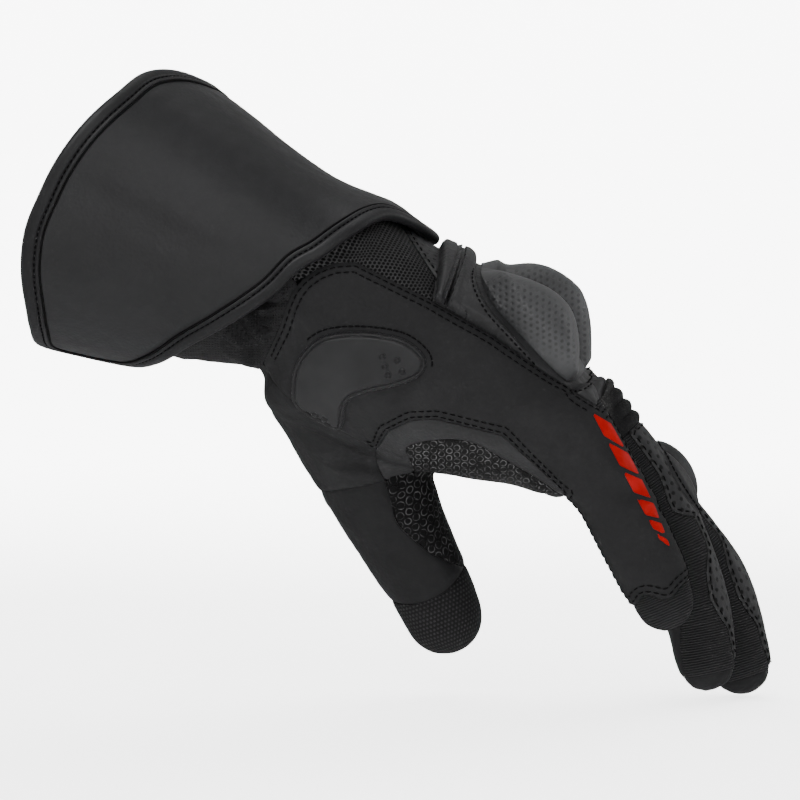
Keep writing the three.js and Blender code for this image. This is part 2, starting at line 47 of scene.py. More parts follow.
VOXEL = 1.1
CUFF_THICKNESS = 2.2
CUFF_CLEARANCE = 1.45
CUFF_FLARE = 0.035
WRIST_DISTANCE = 98.5
SLIDER_HEIGHT = 2.0
ROLL_HEIGHT = 4.3
SURROUND_HEIGHT = 3.2
RIB_HEIGHT = 1.4
RIB_PITCH = 4.4

# Sections of the arm and hand: middle, half width, rise to the back, drop to the palm, lean of the top and
# of the bottom to the index side, and squareness
HAND_ROWS = [
    (-92, 4, 34.5, 45, 48, 45, 0, 0, 3),
    (-69, 3, 25.6, 42, 46, 44, 0, 0, 3),
    (-32, 1, 10.9, 37.5, 39.3, 38.8, 0, 0, 2.8),
    (0, 0, 0, 35, 29.8, 33, 0, 0, 2.5),
    (14, 0, -7, 37, 31.4, 43.5, 0, 0, 2.4),
    (30, 0, -16.5, 40, 29.6, 42, 0, 2, 2.4),
    (50, 0, -27.5, 43, 31.8, 39.5, 2, 8, 2.4),
    (68, 0, -38, 45, 27, 33, 2, 10, 2.3),
    (82, 0, -46.5, 45.5, 19.5, 25.5, 2, 8, 2.3),
    (94, 0, -54, 44, 13, 18.5, 1, 4, 2.3),
]
THUMB_ROWS = [
    (9.5, 10, -36, 21, 17, 21, 0, 0, 2.1),
    (17.5, 15, -53.8, 19, 19.4, 19.3, 0, 0, 2.1),
    (28.2, 20, -73.5, 16, 17, 18.6, 0, 0, 2.1),
    (34.6, 22, -86.6, 14.5, 15, 17, 0, 0, 2.1),
    (41.4, 23.5, -99.7, 13.4, 13.7, 15.4, 0, 0, 2.1),
    (47.4, 24.5, -114, 12.4, 13, 13.2, 0, 0, 2.1),
]
# Fingers: middle of each joint, half the width and half the thickness
FINGER_ROWS = {
    "little": [
        (84, -33, -38, 10.4, 12), (97.9, -33.6, -62.2, 10.4, 12), (107, -34.4, -79.7, 10.4, 12),
        (114.9, -35.2, -95.8, 10.2, 11.3), (118.2, -35.6, -103.4, 9.6, 9.8),
    ],
    "ring": [
        (90, -11, -38, 10.8, 11.6), (109.4, -11.2, -63.6, 10.8, 11.6), (119.6, -11.6, -80.8, 10.8, 11.6),
        (128.8, -12, -105.4, 10.6, 11.2), (132.8, -12.4, -124.5, 9.8, 10.2),
    ],
    "middle": [
        (87.5, 11.6, -38.7, 10.8, 11.2), (107.3, 11.8, -61.3, 10.8, 11.4), (121, 12, -80.3, 10.8, 11.4),
        (137, 12, -102.6, 10.8, 11.4), (145, 12, -128.4, 9.8, 10.8),
    ],
    "index": [
        (86, 34, -38, 10.6, 11.6), (105.4, 34.4, -65.6, 10.6, 11.4), (115.5, 35, -82.6, 10.6, 11.4),
        (126, 35.4, -103, 10.4, 11), (131, 35.6, -115.6, 9.8, 10.2),
    ],
}
FINGER_ENDS = {"little": 10, "ring": 11, "middle": 11, "index": 11}
FINGER_SQUARE = 2.2
LITTLE_RING, RING_MIDDLE, MIDDLE_INDEX = -22.8, 0.4, 23.2

# Edges of the cuff flap: angle round the arm, distance of the rim and of the front edge from the wrist
FLAP_EDGES = [
    (-84, -67, -43), (-77, -71, -38), (-62, -73, -33), (-40, -76.5, -27), (-20, -82.5, -15.5),
    (-5, -86, -6), (10, -82, 2), (30, -76, 6), (55, -70, 11), (75, -61.5, 22), (90, -54, 31),
    (104, -48.5, 34.5), (118, -52, 32), (135, -64, 24), (180, -80, 4), (225, -75, -24), (256, -64, -44),
]

# Seams and edges seen from the little-finger side, as (x, z). Several of them were moved towards the
# photograph and lie some millimetres away from the seams of the solids
OUTLINES = {
    "thumbAll": [(3.5, -73), (30, -67.5), (51, -66.5), (65.5, -93), (69, -139), (26, -139), (-3.5, -80)],
    "thumbGusset": [
        (30, -66.5), (30, -74), (32, -82), (38, -88), (46, -93.5), (60.5, -97), (58, -73), (51, -66),
    ],
    "thumbTip": [
        (20, -110.5), (32.5, -110), (40, -109), (47.5, -105.5), (52.5, -101), (62, -92), (72, -139),
        (20, -139),
    ],
    "littleTip": [
        (98, -113), (107.5, -106), (111.5, -101), (119.5, -102), (125, -97), (136, -92), (136, -126),
        (104, -126),
    ],
    "sideHand": [
        (-1.8, -3.2), (1.5, 0.8), (6, 4), (11.5, 6), (18.5, 6.4), (44, -6.3), (63, -17), (80, -29),
        (98.5, -41), (102.5, -54), (98.5, -73.5), (90.5, -73), (80.5, -63.5), (65.5, -49.5), (44.5, -44.5),
        (36.5, -45), (29, -49), (25, -56), (14, -50), (0.5, -41.7), (-4.7, -37.6), (-9.4, -32.4),
        (-11.8, -27.7), (-6.4, -15.7), (-3.8, -8),
    ],
    "sideLittle": [(97.5, -41), (111.5, -37), (140, -86), (126, -97), (98, -116), (84, -76), (92, -57)],
    "littleAll": [(92, -66), (97, -38), (140, -36), (140, -130), (90, -130), (80, -80)],
    "wristMesh": [
        (-17, 8.5), (-9, -4), (4, 2.5), (15.5, 3), (29.5, -4.5), (42.5, -11), (44.5, 1), (33.5, 17.5),
        (30, 34), (10, 50), (-23, 50),
    ],
    "wristStrip": [(33.5, 17.5), (44.5, 1), (48, 4.5), (48, 18), (37.5, 32), (30, 34)],
    "innerCuff": [
        (-34, 80), (-12, 60), (-16, 8.5), (-5, -3), (-9.5, -17.5), (-12.3, -28.5), (-17, -36), (-30, -80),
        (-84, -45),
    ],
    "innerCuffNear": [(-12, 8), (4, -4), (2, -16), (-10.5, -28.5), (-16, -28.5)],
    "beyondCuff": [(-34, 80), (-84, -45), (-150, -45), (-150, 110), (-34, 110)],
    "back": [(44.5, 4.5), (42.5, -11), (63, -22.2), (93, -40), (101, -26), (98.5, 25), (46, 30)],
    "knuckleCloth": [(91, -38), (90, -50), (92, -62), (100, -64), (125, -56), (125, -30), (101, -26)],
    "radial": [
        (-8, 5), (15.5, 9), (44, -3), (78, -24), (98.5, -35), (104, -56), (92, -62), (46, -44), (-14, -26),
    ],
    "inset": [
        (25, -56.5), (29, -49), (36.5, -45), (44.5, -44.5), (65.5, -49.5), (78, -60), (86, -52), (104, -52),
        (104, -78), (85.5, -90), (42.5, -84), (27.5, -66),
    ],
    "grip": [(36.5, -61), (36, -54), (52, -51.5), (65.5, -57.5), (88, -74), (85.5, -92), (46, -86)],
    "slider": [
        (-2, -34.4), (0, -25.4), (7, -17.9), (18.5, -15.9), (32, -17.4), (39, -21.4), (41.5, -25.9),
        (39, -30.4), (31.5, -33.4), (21, -35.9), (16, -38.9), (14.5, -46.4), (11.5, -47.4), (0, -40.9),
    ],
    "guard": [
        (59, 9), (57.3, 0.5), (61, -8), (68, -16), (83, -31.5), (89, -34), (97, -30), (108, -20), (104, 25),
        (58.5, 25),
    ],
    "roll1": [
        (45.5, 25), (45.5, 9), (44.6, 0), (42.6, -12), (45.6, -12), (50.6, 1.5), (54.5, 12), (55, 25),
    ],
    "roll2": [
        (55.6, 25), (55.2, 12), (51.2, 1.5), (46.2, -12), (53, -16.8), (55, -8), (57.2, 0.5), (59.5, 9),
        (59.5, 25),
    ],
}
# Outlines whose corners are true corners, so that they aren't rounded
STRAIGHT = {
    "roll1", "roll2", "innerCuff", "innerCuffNear", "beyondCuff", "littleAll", "thumbAll", "sideHand",
    "wristMesh",
}

# The knuckle guard in the frame of the hand's slope: heights of its near and far ridges and of its seam, as
# (along, height), and its ridges as (middle, half width to the little-finger side, to the index side)
HAND_SLOPE = math.radians(31)
GUARD_NEAR = [
    (44, 31), (48.2, 33), (52, 35.2), (55.7, 36.5), (60, 37.6), (64.8, 38.8), (70.8, 39.5), (75, 39.2),
    (79.5, 38), (83, 35.7), (85.7, 33), (88.5, 29.4), (90.6, 26), (93.4, 20.5), (96, 15),
]
GUARD_FAR = [
    (44, 34), (47.6, 36.6), (51.6, 38), (56.5, 38), (60, 40.8), (63.8, 43.2), (68, 44.6), (72.9, 45),
    (77, 44.7), (81.5, 43.7), (86, 40.3), (90.1, 35.6), (94, 29.5), (96.5, 25), (99, 20),
]
GUARD_SEAM = [(48.2, 29.8), (56.3, 24.6), (66.3, 21.5), (77.1, 18), (87, 16.3), (93.6, 16.1)]
GUARD_RIDGES = [(-22, 17, 17, GUARD_NEAR), (3, 13.9, 13.9, GUARD_FAR), (27, 17, 17, GUARD_NEAR)]
GUARD_POWER = 2.6
GUARD_RECESS = 1.7

# The dome on each finger: how far along and how far above the middle line its middle lies, and half sizes
DOME_DISTANCE, DOME_OFFSET = 42, 5
DOME_SIZES = (14.5, 9.5, 11.4)
DOME_SHARES = {"ring": (0.55, 6.4), "middle": (1.0, 7.6), "index": (0.9, 7.6)}

# The leather on the back of a finger reaches down its side by (share of the finger's length, offset)
BACK_EDGE = [
    (0.17, 6.5), (0.33, 6.5), (0.41, 4.2), (0.46, 4.2), (0.475, 10), (0.58, 10.3), (0.65, 6.5), (0.72, 5.2),
    (0.77, 6.7), (0.81, 9), (0.94, 9.6),
]
STRETCH_EDGE = [(0.74, -6), (0.86, -8.3)]

# The camera stands 2.2 m off with a long lens, a little above the glove
CAMERA_TARGET = (32.8, 0.0, -40.7)
CAMERA_DISTANCE = 2200
CAMERA_ELEVATION = math.radians(4)
VIEW_WIDTH = 262.4
PIXELS = 800

# How finely the skin is made, and how the panels' edges are
LOFT_STEP = 2.0
SKIN_ROUNDS = 14
NORMAL_ROUNDS = 2
OUTLINE_MARGIN = 12
DISTANCE_LIMIT = 14
EDGE_SOFTNESS = 1.6
ROUGH_SEED = 1
SHARP_ANGLE = 40
BINDING_SHARP_ANGLE = 70
BINDING_STEP = 1.2
BINDING_ROUNDS = 6
FLARE_START = 20
# Painted shade: the near-black colour painted inside the holes of perforated leather and cloth
HOLE_SHADE_COLOR = (0.0004, 0.0004, 0.0004)
FLOOR_GLOW = 2.6

# Pitch of the cuff's gathers, how far out the guard's top may lie and in how many halvings it is found, and
# how far in from the flap's edge the binding's stitches and the near-black cord of painted shadow along its
# inner edge lie
GATHER_PITCH = 6.6
GUARD_REACH = 24.0
HALVINGS = 20
BINDING_STITCH_INSET = 3.82
BINDING_SHADOW_INSET = 5.75


def smoothstep(low, high, value):
    t = np.clip((value - low) / (high - low), 0, 1)
    return t * t * (3 - 2 * t)


def hump(distance, width):
    """One where the distance is zero, falling off smoothly over the width."""
    return np.exp(-((distance / width) ** 2))


def between_ends(share, low, high):
    """One along a line and zero beyond its two ends, from the share of the way along it."""
    return smoothstep(low, high, share) * smoothstep(low, high, 1 - share)


def curve_between(a, b, c, d, t):
    """A point between b and c on the smooth curve that also runs through a and d."""
    square = 2 * a - 5 * b + 4 * c - d
    cube = 3 * b - a - 3 * c + d
    return 0.5 * (2 * b + (c - a) * t + square * t**2 + cube * t**3)


def triangle_edges(triangles):
    return np.concatenate([triangles[:, [0, 1]], triangles[:, [1, 2]], triangles[:, [2, 0]]])


def closed_tube_faces(rings, sides):
    """Quads of a tube whose last ring joins its first."""
    faces = []
    for k in range(rings):
        n = (k + 1) % rings
        for i in range(sides):
            j = (i + 1) % sides
            faces.append((k * sides + i, n * sides + i, n * sides + j, k * sides + j))
    return faces


def seen_at(u, v, y=-40.0):
    """The (x, z) in mm of a point that shows at pixel (u, v) and lies y mm behind the glove's middle."""
    size = VIEW_WIDTH / PIXELS
    depth = CAMERA_DISTANCE + y
    x = (u - PIXELS / 2) * size * depth / CAMERA_DISTANCE + CAMERA_TARGET[0]
    rise = (PIXELS / 2 - v) * size * depth / CAMERA_DISTANCE
    z = (rise - y * math.sin(CAMERA_ELEVATION)) / math.cos(CAMERA_ELEVATION) + CAMERA_TARGET[2]
    return x, z


class Form:
    """A tube of sections along a curved middle line, read at any distance along that line."""

    def __init__(self, rows, end):
        self.rows = np.array(rows, float)
        steps = np.linalg.norm(np.diff(self.rows[:, :3], axis=0), axis=1)
        self.starts = np.concatenate([[0], np.cumsum(steps)])
        self.length = self.starts[-1]
        self.end = end

    def read(self, distance):
        rows, starts = self.rows, self.starts
        last = len(rows) - 1
        span = int(np.clip(np.searchsorted(starts, distance, side="right") - 1, 0, last - 1))
        t = (distance - starts[span]) / (starts[span + 1] - starts[span])
        b, c = rows[span], rows[span + 1]
        a = rows[span - 1] if span > 0 else 2 * b - c
        d = rows[span + 2] if span < last - 1 else 2 * c - b
        return curve_between(a, b, c, d, t)

    def at(self, distance):
        inside = min(max(distance, 0), self.length)
        row = self.read(inside)
        ahead = self.read(min(inside + 0.5, self.length))[:3]
        behind = self.read(max(inside - 0.5, 0))[:3]
        along = (ahead - behind) / np.linalg.norm(ahead - behind)
        up = np.cross(along, (0, 1, 0))
        up /= np.linalg.norm(up)
        centre = row[:3] + along * (distance - inside)
        return row, centre, along, up, np.cross(up, along)

    def ring(self, distance, turns, grow=0.0, scale=1.0):
        row, centre, _, up, across = self.at(distance)
        width, rise, drop, lean_up, lean_down, square = row[3:9]
        c, n = np.cos(turns), np.sin(turns)
        power = 2 / square
        side = -np.sign(c) * np.abs(c) ** power * (width + grow) * scale
        lean = np.where(n > 0, lean_up, lean_down) * n * n * scale
        away = np.sign(n) * np.abs(n) ** power * (np.where(n > 0, rise, drop) + grow) * scale
        return centre + np.outer(side + lean, across) + np.outer(away, up)

    def coordinates(self, points):
        """Distance along the form, turn and distance from the middle line of each point."""
        distances = np.arange(-20, self.length + self.end + 20, 1.0)
        frames = [self.at(d) for d in distances]
        centres = np.array([f[1] for f in frames])
        alongs = np.array([f[2] for f in frames])
        ups = np.array([f[3] for f in frames])
        acrosses = np.array([f[4] for f in frames])
        nearest = np.empty(len(points), int)
        for i in range(0, len(points), 4000):
            part = points[i : i + 4000, None, :] - centres[None]
            nearest[i : i + 4000] = (part**2).sum(2).argmin(1)
        away = points - centres[nearest]
        along = distances[nearest] + (away * alongs[nearest]).sum(1)
        up = (away * ups[nearest]).sum(1)
        side = (away * acrosses[nearest]).sum(1)
        return along, np.arctan2(up, -side), np.hypot(up, side)


def finger_form(name):
    rows = [(x, y, z, w, t, t, 0, 0, FINGER_SQUARE) for x, y, z, w, t in FINGER_ROWS[name]]
    return Form(rows, FINGER_ENDS[name])


HAND = Form(HAND_ROWS, 7)
THUMB = Form(THUMB_ROWS, 13.5)
FINGERS = {name: finger_form(name) for name in FINGER_ROWS}


def loft(form, start, sides):
    """Closed tube of a form with a round far end, as points and quads."""
    turns = np.linspace(0, 2 * math.pi, sides, endpoint=False)
    rings = [form.ring(d, turns) for d in np.arange(start, form.length, LOFT_STEP)]
    for angle in np.linspace(0, math.pi / 2, 9)[:-1]:
        rings.append(form.ring(form.length + form.end * math.sin(angle), turns, 0, math.cos(angle)))
    points = np.concatenate(rings)
    faces = []
    for r in range(len(rings) - 1):
        for k in range(sides):
            n = (k + 1) % sides
            faces.append((r * sides + k, r * sides + n, (r + 1) * sides + n, (r + 1) * sides + k))
    faces.append(tuple(range(sides)))
    top = (len(rings) - 1) * sides
    faces.append(tuple(top + k for k in reversed(range(sides))))
    return points, faces


def new_object(name, points, faces):
    mesh = bpy.data.meshes.new(name)
    mesh.from_pydata([tuple(p) for p in np.asarray(points) * MM], [], [tuple(f) for f in faces])
    mesh.update()
    mesh.shade_smooth()
    obj = bpy.data.objects.new(name, mesh)
    bpy.context.scene.collection.objects.link(obj)
    return obj


def evaluated(obj):
    """Points in mm and triangles of an object with its modifiers."""
    graph = bpy.context.evaluated_depsgraph_get()
    mesh = obj.evaluated_get(graph).to_mesh()
    mesh.calc_loop_triangles()
    points = np.empty(len(mesh.vertices) * 3)
    mesh.vertices.foreach_get("co", points)
    triangles = np.empty(len(mesh.loop_triangles) * 3, np.int32)
    mesh.loop_triangles.foreach_get("vertices", triangles)
    return points.reshape(-1, 3) / MM, triangles.reshape(-1, 3)


def vertex_normals(points, triangles):
    a, b, c = (points[triangles[:, i]] for i in range(3))
    face = np.cross(b - a, c - a)
    normals = np.zeros_like(points)
    for i in range(3):
        np.add.at(normals, triangles[:, i], face)
    return normals / np.maximum(np.linalg.norm(normals, axis=1, keepdims=True), 1e-12)


def relaxed(points, triangles, rounds, share=0.5):
    """Points moved towards the mean of their neighbours."""
    edges = triangle_edges(triangles)
    count = np.bincount(edges.ravel(), minlength=len(points))[:, None]
    for _ in range(rounds):
        total = np.zeros_like(points)
        np.add.at(total, edges[:, 0], points[edges[:, 1]])
        np.add.at(total, edges[:, 1], points[edges[:, 0]])
        points = points + share * (total / np.maximum(count, 1) - points)
    return points


def wobble(points, size, seed, octaves=3):
    """Smooth noise from about -1 to 1 with features of about the given size in mm."""
    random = np.random.RandomState(seed)
    total = np.zeros(len(points))
    weight = 1.0
    for _ in range(octaves):
        for _ in range(5):
            direction = random.normal(size=3)
            direction /= np.linalg.norm(direction)
            phase = random.uniform(0, 2 * math.pi, 2)
            other = np.cross(direction, random.normal(size=3))
            a = np.sin(points @ direction * (2 * math.pi / size) + phase[0])
            total += weight * a * np.cos(points @ other * (2 * math.pi / size) * 0.7 + phase[1])
        weight *= 0.5
        size *= 0.5
    return total / 4


def rounded(outline, steps=5):
    """A closed outline as a smooth curve through its points."""
    p = np.array(outline, float)
    t = np.arange(steps) / steps
    a, b, c, d = np.roll(p, 1, 0), p, np.roll(p, -1, 0), np.roll(p, -2, 0)
    t = t[None, :, None]
    a, b, c, d = (q[:, None, :] for q in (a, b, c, d))
    return curve_between(a, b, c, d, t).reshape(-1, 2)


def polygon_distance(outline, x, z):
    """Distance of each (x, z) from a closed outline, negative inside."""
    p = np.asarray(outline, float)
    best = np.full(len(x), 1e9)
    inside = np.zeros(len(x), bool)
    for (ax, az), (bx, bz) in zip(p, np.roll(p, -1, 0)):
        ex, ez = bx - ax, bz - az
        t = np.clip(((x - ax) * ex + (z - az) * ez) / max(ex * ex + ez * ez, 1e-9), 0, 1)
        best = np.minimum(best, (x - ax - t * ex) ** 2 + (z - az - t * ez) ** 2)
        if az != bz:
            crosses = (az > z) != (bz > z)
            inside ^= crosses & (x < (z - az) / (bz - az) * ex + ax)
    distance = np.sqrt(best)
    return np.where(inside, -distance, distance)


def clipped(points, triangles, field, carried):
    """The part of a mesh where field is below zero, with the carried values of each point."""
    inside = field < 0
    held = inside[triangles]
    count = held.sum(1)
    values = np.column_stack([points, field, carried])
    whole = triangles[count == 3]
    extra = []
    made = {}
    new_values = []

    def crossing(i, j):
        key = (i, j) if i < j else (j, i)
        if key not in made:
            a, b = key
            t = field[a] / (field[a] - field[b])
            made[key] = len(points) + len(new_values)
            new_values.append(values[a] + (values[b] - values[a]) * t)
        return made[key]

    for tri, mask in zip(triangles[(count == 1) | (count == 2)], held[(count == 1) | (count == 2)]):
        if mask.sum() == 1:
            k = int(np.argmax(mask))
            a, b, c = tri[k], tri[(k + 1) % 3], tri[(k + 2) % 3]
            extra.append((a, crossing(a, b), crossing(a, c)))
        else:
            k = int(np.argmin(mask))
            a, b, c = tri[k], tri[(k + 1) % 3], tri[(k + 2) % 3]
            ab, ac = crossing(a, b), crossing(a, c)
            extra.append((ab, b, c))
            extra.append((ab, c, ac))
    if new_values:
        values = np.concatenate([values, np.array(new_values)])
    faces = np.concatenate([whole, np.array(extra, int).reshape(-1, 3)]) if extra else whole
    used, faces = np.unique(faces, return_inverse=True)
    faces = faces.reshape(-1, 3)
    values = values[used]
    return values[:, :3], faces, values[:, 3], values[:, 4:]


def biggest(points, triangles, *values):
    """Only the biggest connected part of a mesh."""
    label = np.arange(len(points))
    while True:
        low = label[triangles].min(1)
        before = label.copy()
        for i in range(3):
            np.minimum.at(label, triangles[:, i], low)
        label = label[label]
        if (label == before).all():
            break
    ids, counts = np.unique(label[triangles[:, 0]], return_counts=True)
    keep = label == ids[counts.argmax()]
    index = np.cumsum(keep) - 1
    faces = index[triangles[keep[triangles[:, 0]]]]
    return (points[keep], faces) + tuple(v[keep] for v in values)


def subdivided(points, triangles, *values):
    """Each triangle becomes four."""
    edges = np.sort(triangle_edges(triangles), axis=1)
    unique, inverse = np.unique(edges, axis=0, return_inverse=True)
    inverse = inverse.reshape(3, -1) + len(points)
    a, b, c = triangles.T
    ab, bc, ca = inverse
    faces = np.concatenate([
        np.column_stack([a, ab, ca]), np.column_stack([ab, b, bc]), np.column_stack([ca, bc, c]),
        np.column_stack([ab, bc, ca]),
    ])
    grown = tuple(np.concatenate([v, (v[unique[:, 0]] + v[unique[:, 1]]) / 2]) for v in (points, *values))
    return (grown[0], faces) + grown[1:]


def rim_edges(triangles):
    edges = triangle_edges(triangles)
    directed = {(int(a), int(b)) for a, b in edges}
    return [(a, b) for a, b in directed if (b, a) not in directed]


def thick_object(name, outer, inner, triangles, flow=None):
    """A closed sheet between an outer and an inner copy of the same triangles."""
    n = len(outer)
    rim = []
    for a, b in rim_edges(triangles):
        rim.append((b, a, a + n))
        rim.append((b, a + n, b + n))
    faces = np.concatenate([triangles, triangles[:, ::-1] + n, np.array(rim, int).reshape(-1, 3)])
    obj = new_object(name, np.concatenate([outer, inner]), faces)
    obj.data.set_sharp_from_angle(angle=math.radians(SHARP_ANGLE))
    if flow is not None:
        attribute = obj.data.attributes.new("flow", "FLOAT_VECTOR", "POINT")
        attribute.data.foreach_set("vector", np.concatenate([flow, flow]).astype(np.float32).ravel())
    return obj


def level_lines(points, triangles, field, level):
    """Lines on a mesh along which field has the level, as lists of points."""
    f = field - level
    sign = f > 0
    segments = []
    spots = {}

    def spot(i, j):
        key = (min(i, j), max(i, j))
        if key not in spots:
            a, b = key
            t = f[a] / (f[a] - f[b])
            spots[key] = points[a] + (points[b] - points[a]) * t
        return key

    crossing = triangles[(sign[triangles].sum(1) % 3) != 0]
    for a, b, c in crossing:
        ends = [spot(i, j) for i, j in ((a, b), (b, c), (c, a)) if sign[i] != sign[j]]
        segments.append(ends)
    neighbours = {}
    for p, q in segments:
        neighbours.setdefault(p, []).append(q)
        neighbours.setdefault(q, []).append(p)
    lines = []
    visited = set()
    starts = [k for k, v in neighbours.items() if len(v) == 1] + list(neighbours)
    for start in starts:
        if start in visited:
            continue
        line = [start]
        visited.add(start)
        current = start
        while True:
            ahead = [n for n in neighbours[current] if n not in visited]
            if not ahead:
                break
            current = ahead[0]
            visited.add(current)
            line.append(current)
        closed = len(line) > 3 and line[0] in neighbours[current]
        pts = np.array([spots[k] for k in line])
        if closed:
            pts = np.concatenate([pts, pts[:1]])
        lines.append(pts)
    return lines


def even_points(line, pitch):
    """Points at even distances along a line, and the directions there."""
    for _ in range(4):
        if len(line) > 4:
            line = np.concatenate([line[:1], (line[:-2] + 2 * line[1:-1] + line[2:]) / 4, line[-1:]])
    steps = np.linalg.norm(np.diff(line, axis=0), axis=1)
    at = np.concatenate([[0], np.cumsum(steps)])
    if at[-1] < pitch * 2:
        return np.empty((0, 3)), np.empty((0, 3))
    count = int(at[-1] / pitch)
    where = (np.arange(count) + 0.5) * at[-1] / count
    spots = np.column_stack([np.interp(where, at, line[:, k]) for k in range(3)])
    ahead = np.column_stack([np.interp(np.minimum(where + 0.6, at[-1]), at, line[:, k]) for k in range(3)])
    behind = np.column_stack([np.interp(np.maximum(where - 0.6, 0), at, line[:, k]) for k in range(3)])
    directions = ahead - behind
    return spots, directions / np.maximum(np.linalg.norm(directions, axis=1, keepdims=True), 1e-9)


# The skin: every form in one smooth surface
parts = []
for form, start, sides in [(HAND, 8, 112), (THUMB, 0, 64)] + [(f, 0, 60) for f in FINGERS.values()]:
    parts.append(loft(form, start, sides))
all_points, all_faces, base = [], [], 0
for points, faces in parts:
    all_points.append(points)
    all_faces += [tuple(i + base for i in f) for f in faces]
    base += len(points)
skin_object = new_object("skin", np.concatenate(all_points), all_faces)
remesh = skin_object.modifiers.new("Remesh", "REMESH")
remesh.mode = "VOXEL"
remesh.voxel_size = VOXEL * MM
skin, skin_triangles = evaluated(skin_object)
bpy.data.objects.remove(skin_object)
skin = relaxed(skin, skin_triangles, SKIN_ROUNDS)
normals = vertex_normals(skin, skin_triangles)
normals = relaxed(normals, skin_triangles, NORMAL_ROUNDS)
normals /= np.linalg.norm(normals, axis=1, keepdims=True)


# Where the skin bulges out, at the heel of the hand and where the little finger starts: x, z, reach along x,
# reach along z and height
BULGES = [(-8, -37, 7, 8, 2.0), (83, -67, 9, 6, 3.0)]
for x, z, reach_x, reach_z, bulge in BULGES:
    away = ((skin[:, 0] - x) / reach_x) ** 2 + ((skin[:, 2] - z) / reach_z) ** 2
    skin = skin + normals * (bulge * np.exp(-away))[:, None]
X, Y, Z = skin.T
hand_along, hand_turn, _ = HAND.coordinates(skin)
print("skin", len(skin), "points")

taken = np.full(len(skin), 1e9)
FAR = 1e3


def outline_field(outline, low=-REACH, high=REACH, straight=False):
    """Distance from a region that is an outline carried through from one Y to another."""
    curve = outline if straight else rounded(outline)
    box = np.array(outline)
    field = np.full(len(skin), FAR)
    near = (Y > low - OUTLINE_MARGIN) & (Y < high + OUTLINE_MARGIN)
    for values, edges in ((X, box[:, 0]), (Z, box[:, 1])):
        near &= (values > edges.min() - OUTLINE_MARGIN) & (values < edges.max() + OUTLINE_MARGIN)
    field[near] = polygon_distance(curve, X[near], Z[near])
    return np.maximum(field, np.maximum(low - Y, Y - high))


def named_field(name, low=-REACH, high=REACH):
    return outline_field(OUTLINES[name], low, high, name in STRAIGHT)


def surface_distance(field):
    """The field as a distance along the skin: its steepness along the skin is evened out."""
    a, b, c = (skin_triangles[:, i] for i in range(3))
    e1, e2 = skin[b] - skin[a], skin[c] - skin[a]
    d1, d2 = field[b] - field[a], field[c] - field[a]
    g11, g12, g22 = (e1 * e1).sum(1), (e1 * e2).sum(1), (e2 * e2).sum(1)
    det = np.maximum(g11 * g22 - g12 * g12, 1e-9)
    u, v = (g22 * d1 - g12 * d2) / det, (g11 * d2 - g12 * d1) / det
    steep = np.sqrt(np.maximum(u * u * g11 + 2 * u * v * g12 + v * v * g22, 0))
    total, count = np.zeros(len(skin)), np.zeros(len(skin))
    for i in range(3):
        np.add.at(total, skin_triangles[:, i], steep)
        np.add.at(count, skin_triangles[:, i], 1)
    mean = total / np.maximum(count, 1)
    return field / np.clip(relaxed(mean[:, None], skin_triangles, 6)[:, 0], 0.3, 1.2)


def to_segment(points, a, b):
    """Distance of points from the segment from a to b, and the share of the way along it, in XZ."""
    ax, az = a
    ex, ez = b[0] - ax, b[1] - az
    t = ((points[:, 0] - ax) * ex + (points[:, 2] - az) * ez) / (ex * ex + ez * ez)
    held = np.clip(t, 0, 1)
    d = np.hypot(points[:, 0] - ax - held * ex, points[:, 2] - az - held * ez)
    side = (points[:, 0] - ax) * ez - (points[:, 2] - az) * ex
    return np.where(side > 0, d, -d), t


# Folds that the photo shows, from pixel to pixel on the near side: width and depth in mm
FOLDS = {
    "side_panel": [
        ((281, 300), (300, 362), 2.4, 0.7), ((300, 300), (330, 330), 2.6, 0.5),
        ((436, 330), (470, 400), 5, 0.6), ((560, 420), (600, 470), 3.5, 0.6),
        ((590, 430), (640, 468), 3, 0.5), ((585, 470), (650, 505), 3, 0.5),
        ((470, 400), (560, 440), 4.5, 0.5), ((345, 280), (420, 330), 4, 0.5),
        ((575, 400), (600, 430), 2.5, 0.5), ((625, 520), (665, 510), 2.5, 0.5),
        ((610, 500), (660, 480), 2.5, 0.4),
    ],
    "inner_cuff": [
        ((227, 314), (262, 361), 2.4, 2.2), ((243, 301), (266, 335), 1.6, 1.9),
        ((246, 297), (266, 305), 1.4, 1.7), ((264, 305), (286, 302), 1.4, 1.6),
        ((222, 344), (262, 364), 1.6, 1.3), ((262, 318), (280, 312), 1.3, 1.4),
        ((268, 280), (270, 301), 1.3, 1.1), ((255, 334), (272, 331), 1.3, 1.3),
    ],
    "wrist_mesh": [
        ((290, 300), (360, 250), 3, 0.6), ((330, 262), (400, 236), 3.2, 0.6),
        ((300, 275), (330, 256), 3, 0.5),
    ],
    "palm_main": [
        ((285, 410), (330, 466), 4, 0.2), ((350, 440), (372, 470), 3, 0.2),
        ((318, 472), (388, 474), 2.0, 0.9),
    ],
    "palm_inset": [((376, 451), (396, 463), 0.9, 0.5), ((396, 463), (432, 470), 0.9, 0.5)],
    "thumb_back": [
        ((330, 489), (391, 480), 2, 1.1), ((338, 503), (380, 498), 2.4, 0.6),
        ((352, 540), (388, 530), 4, 0.5), ((372, 575), (410, 560), 4, 0.5),
    ],
}


def folded(name, points):
    """How far the folds of a panel move its points out or in."""
    total = np.zeros(len(points))
    for a, b, width, depth in FOLDS.get(name, ()):
        d, t = to_segment(points, seen_at(*a), seen_at(*b))
        crest = 0.55 * hump(d - 1.7 * width, width) + 0.45 * hump(d + 1.7 * width, width)
        total += depth * between_ends(t, -0.15, 0.2) * (crest - hump(d, width))
    return total * (points[:, 1] < 0)


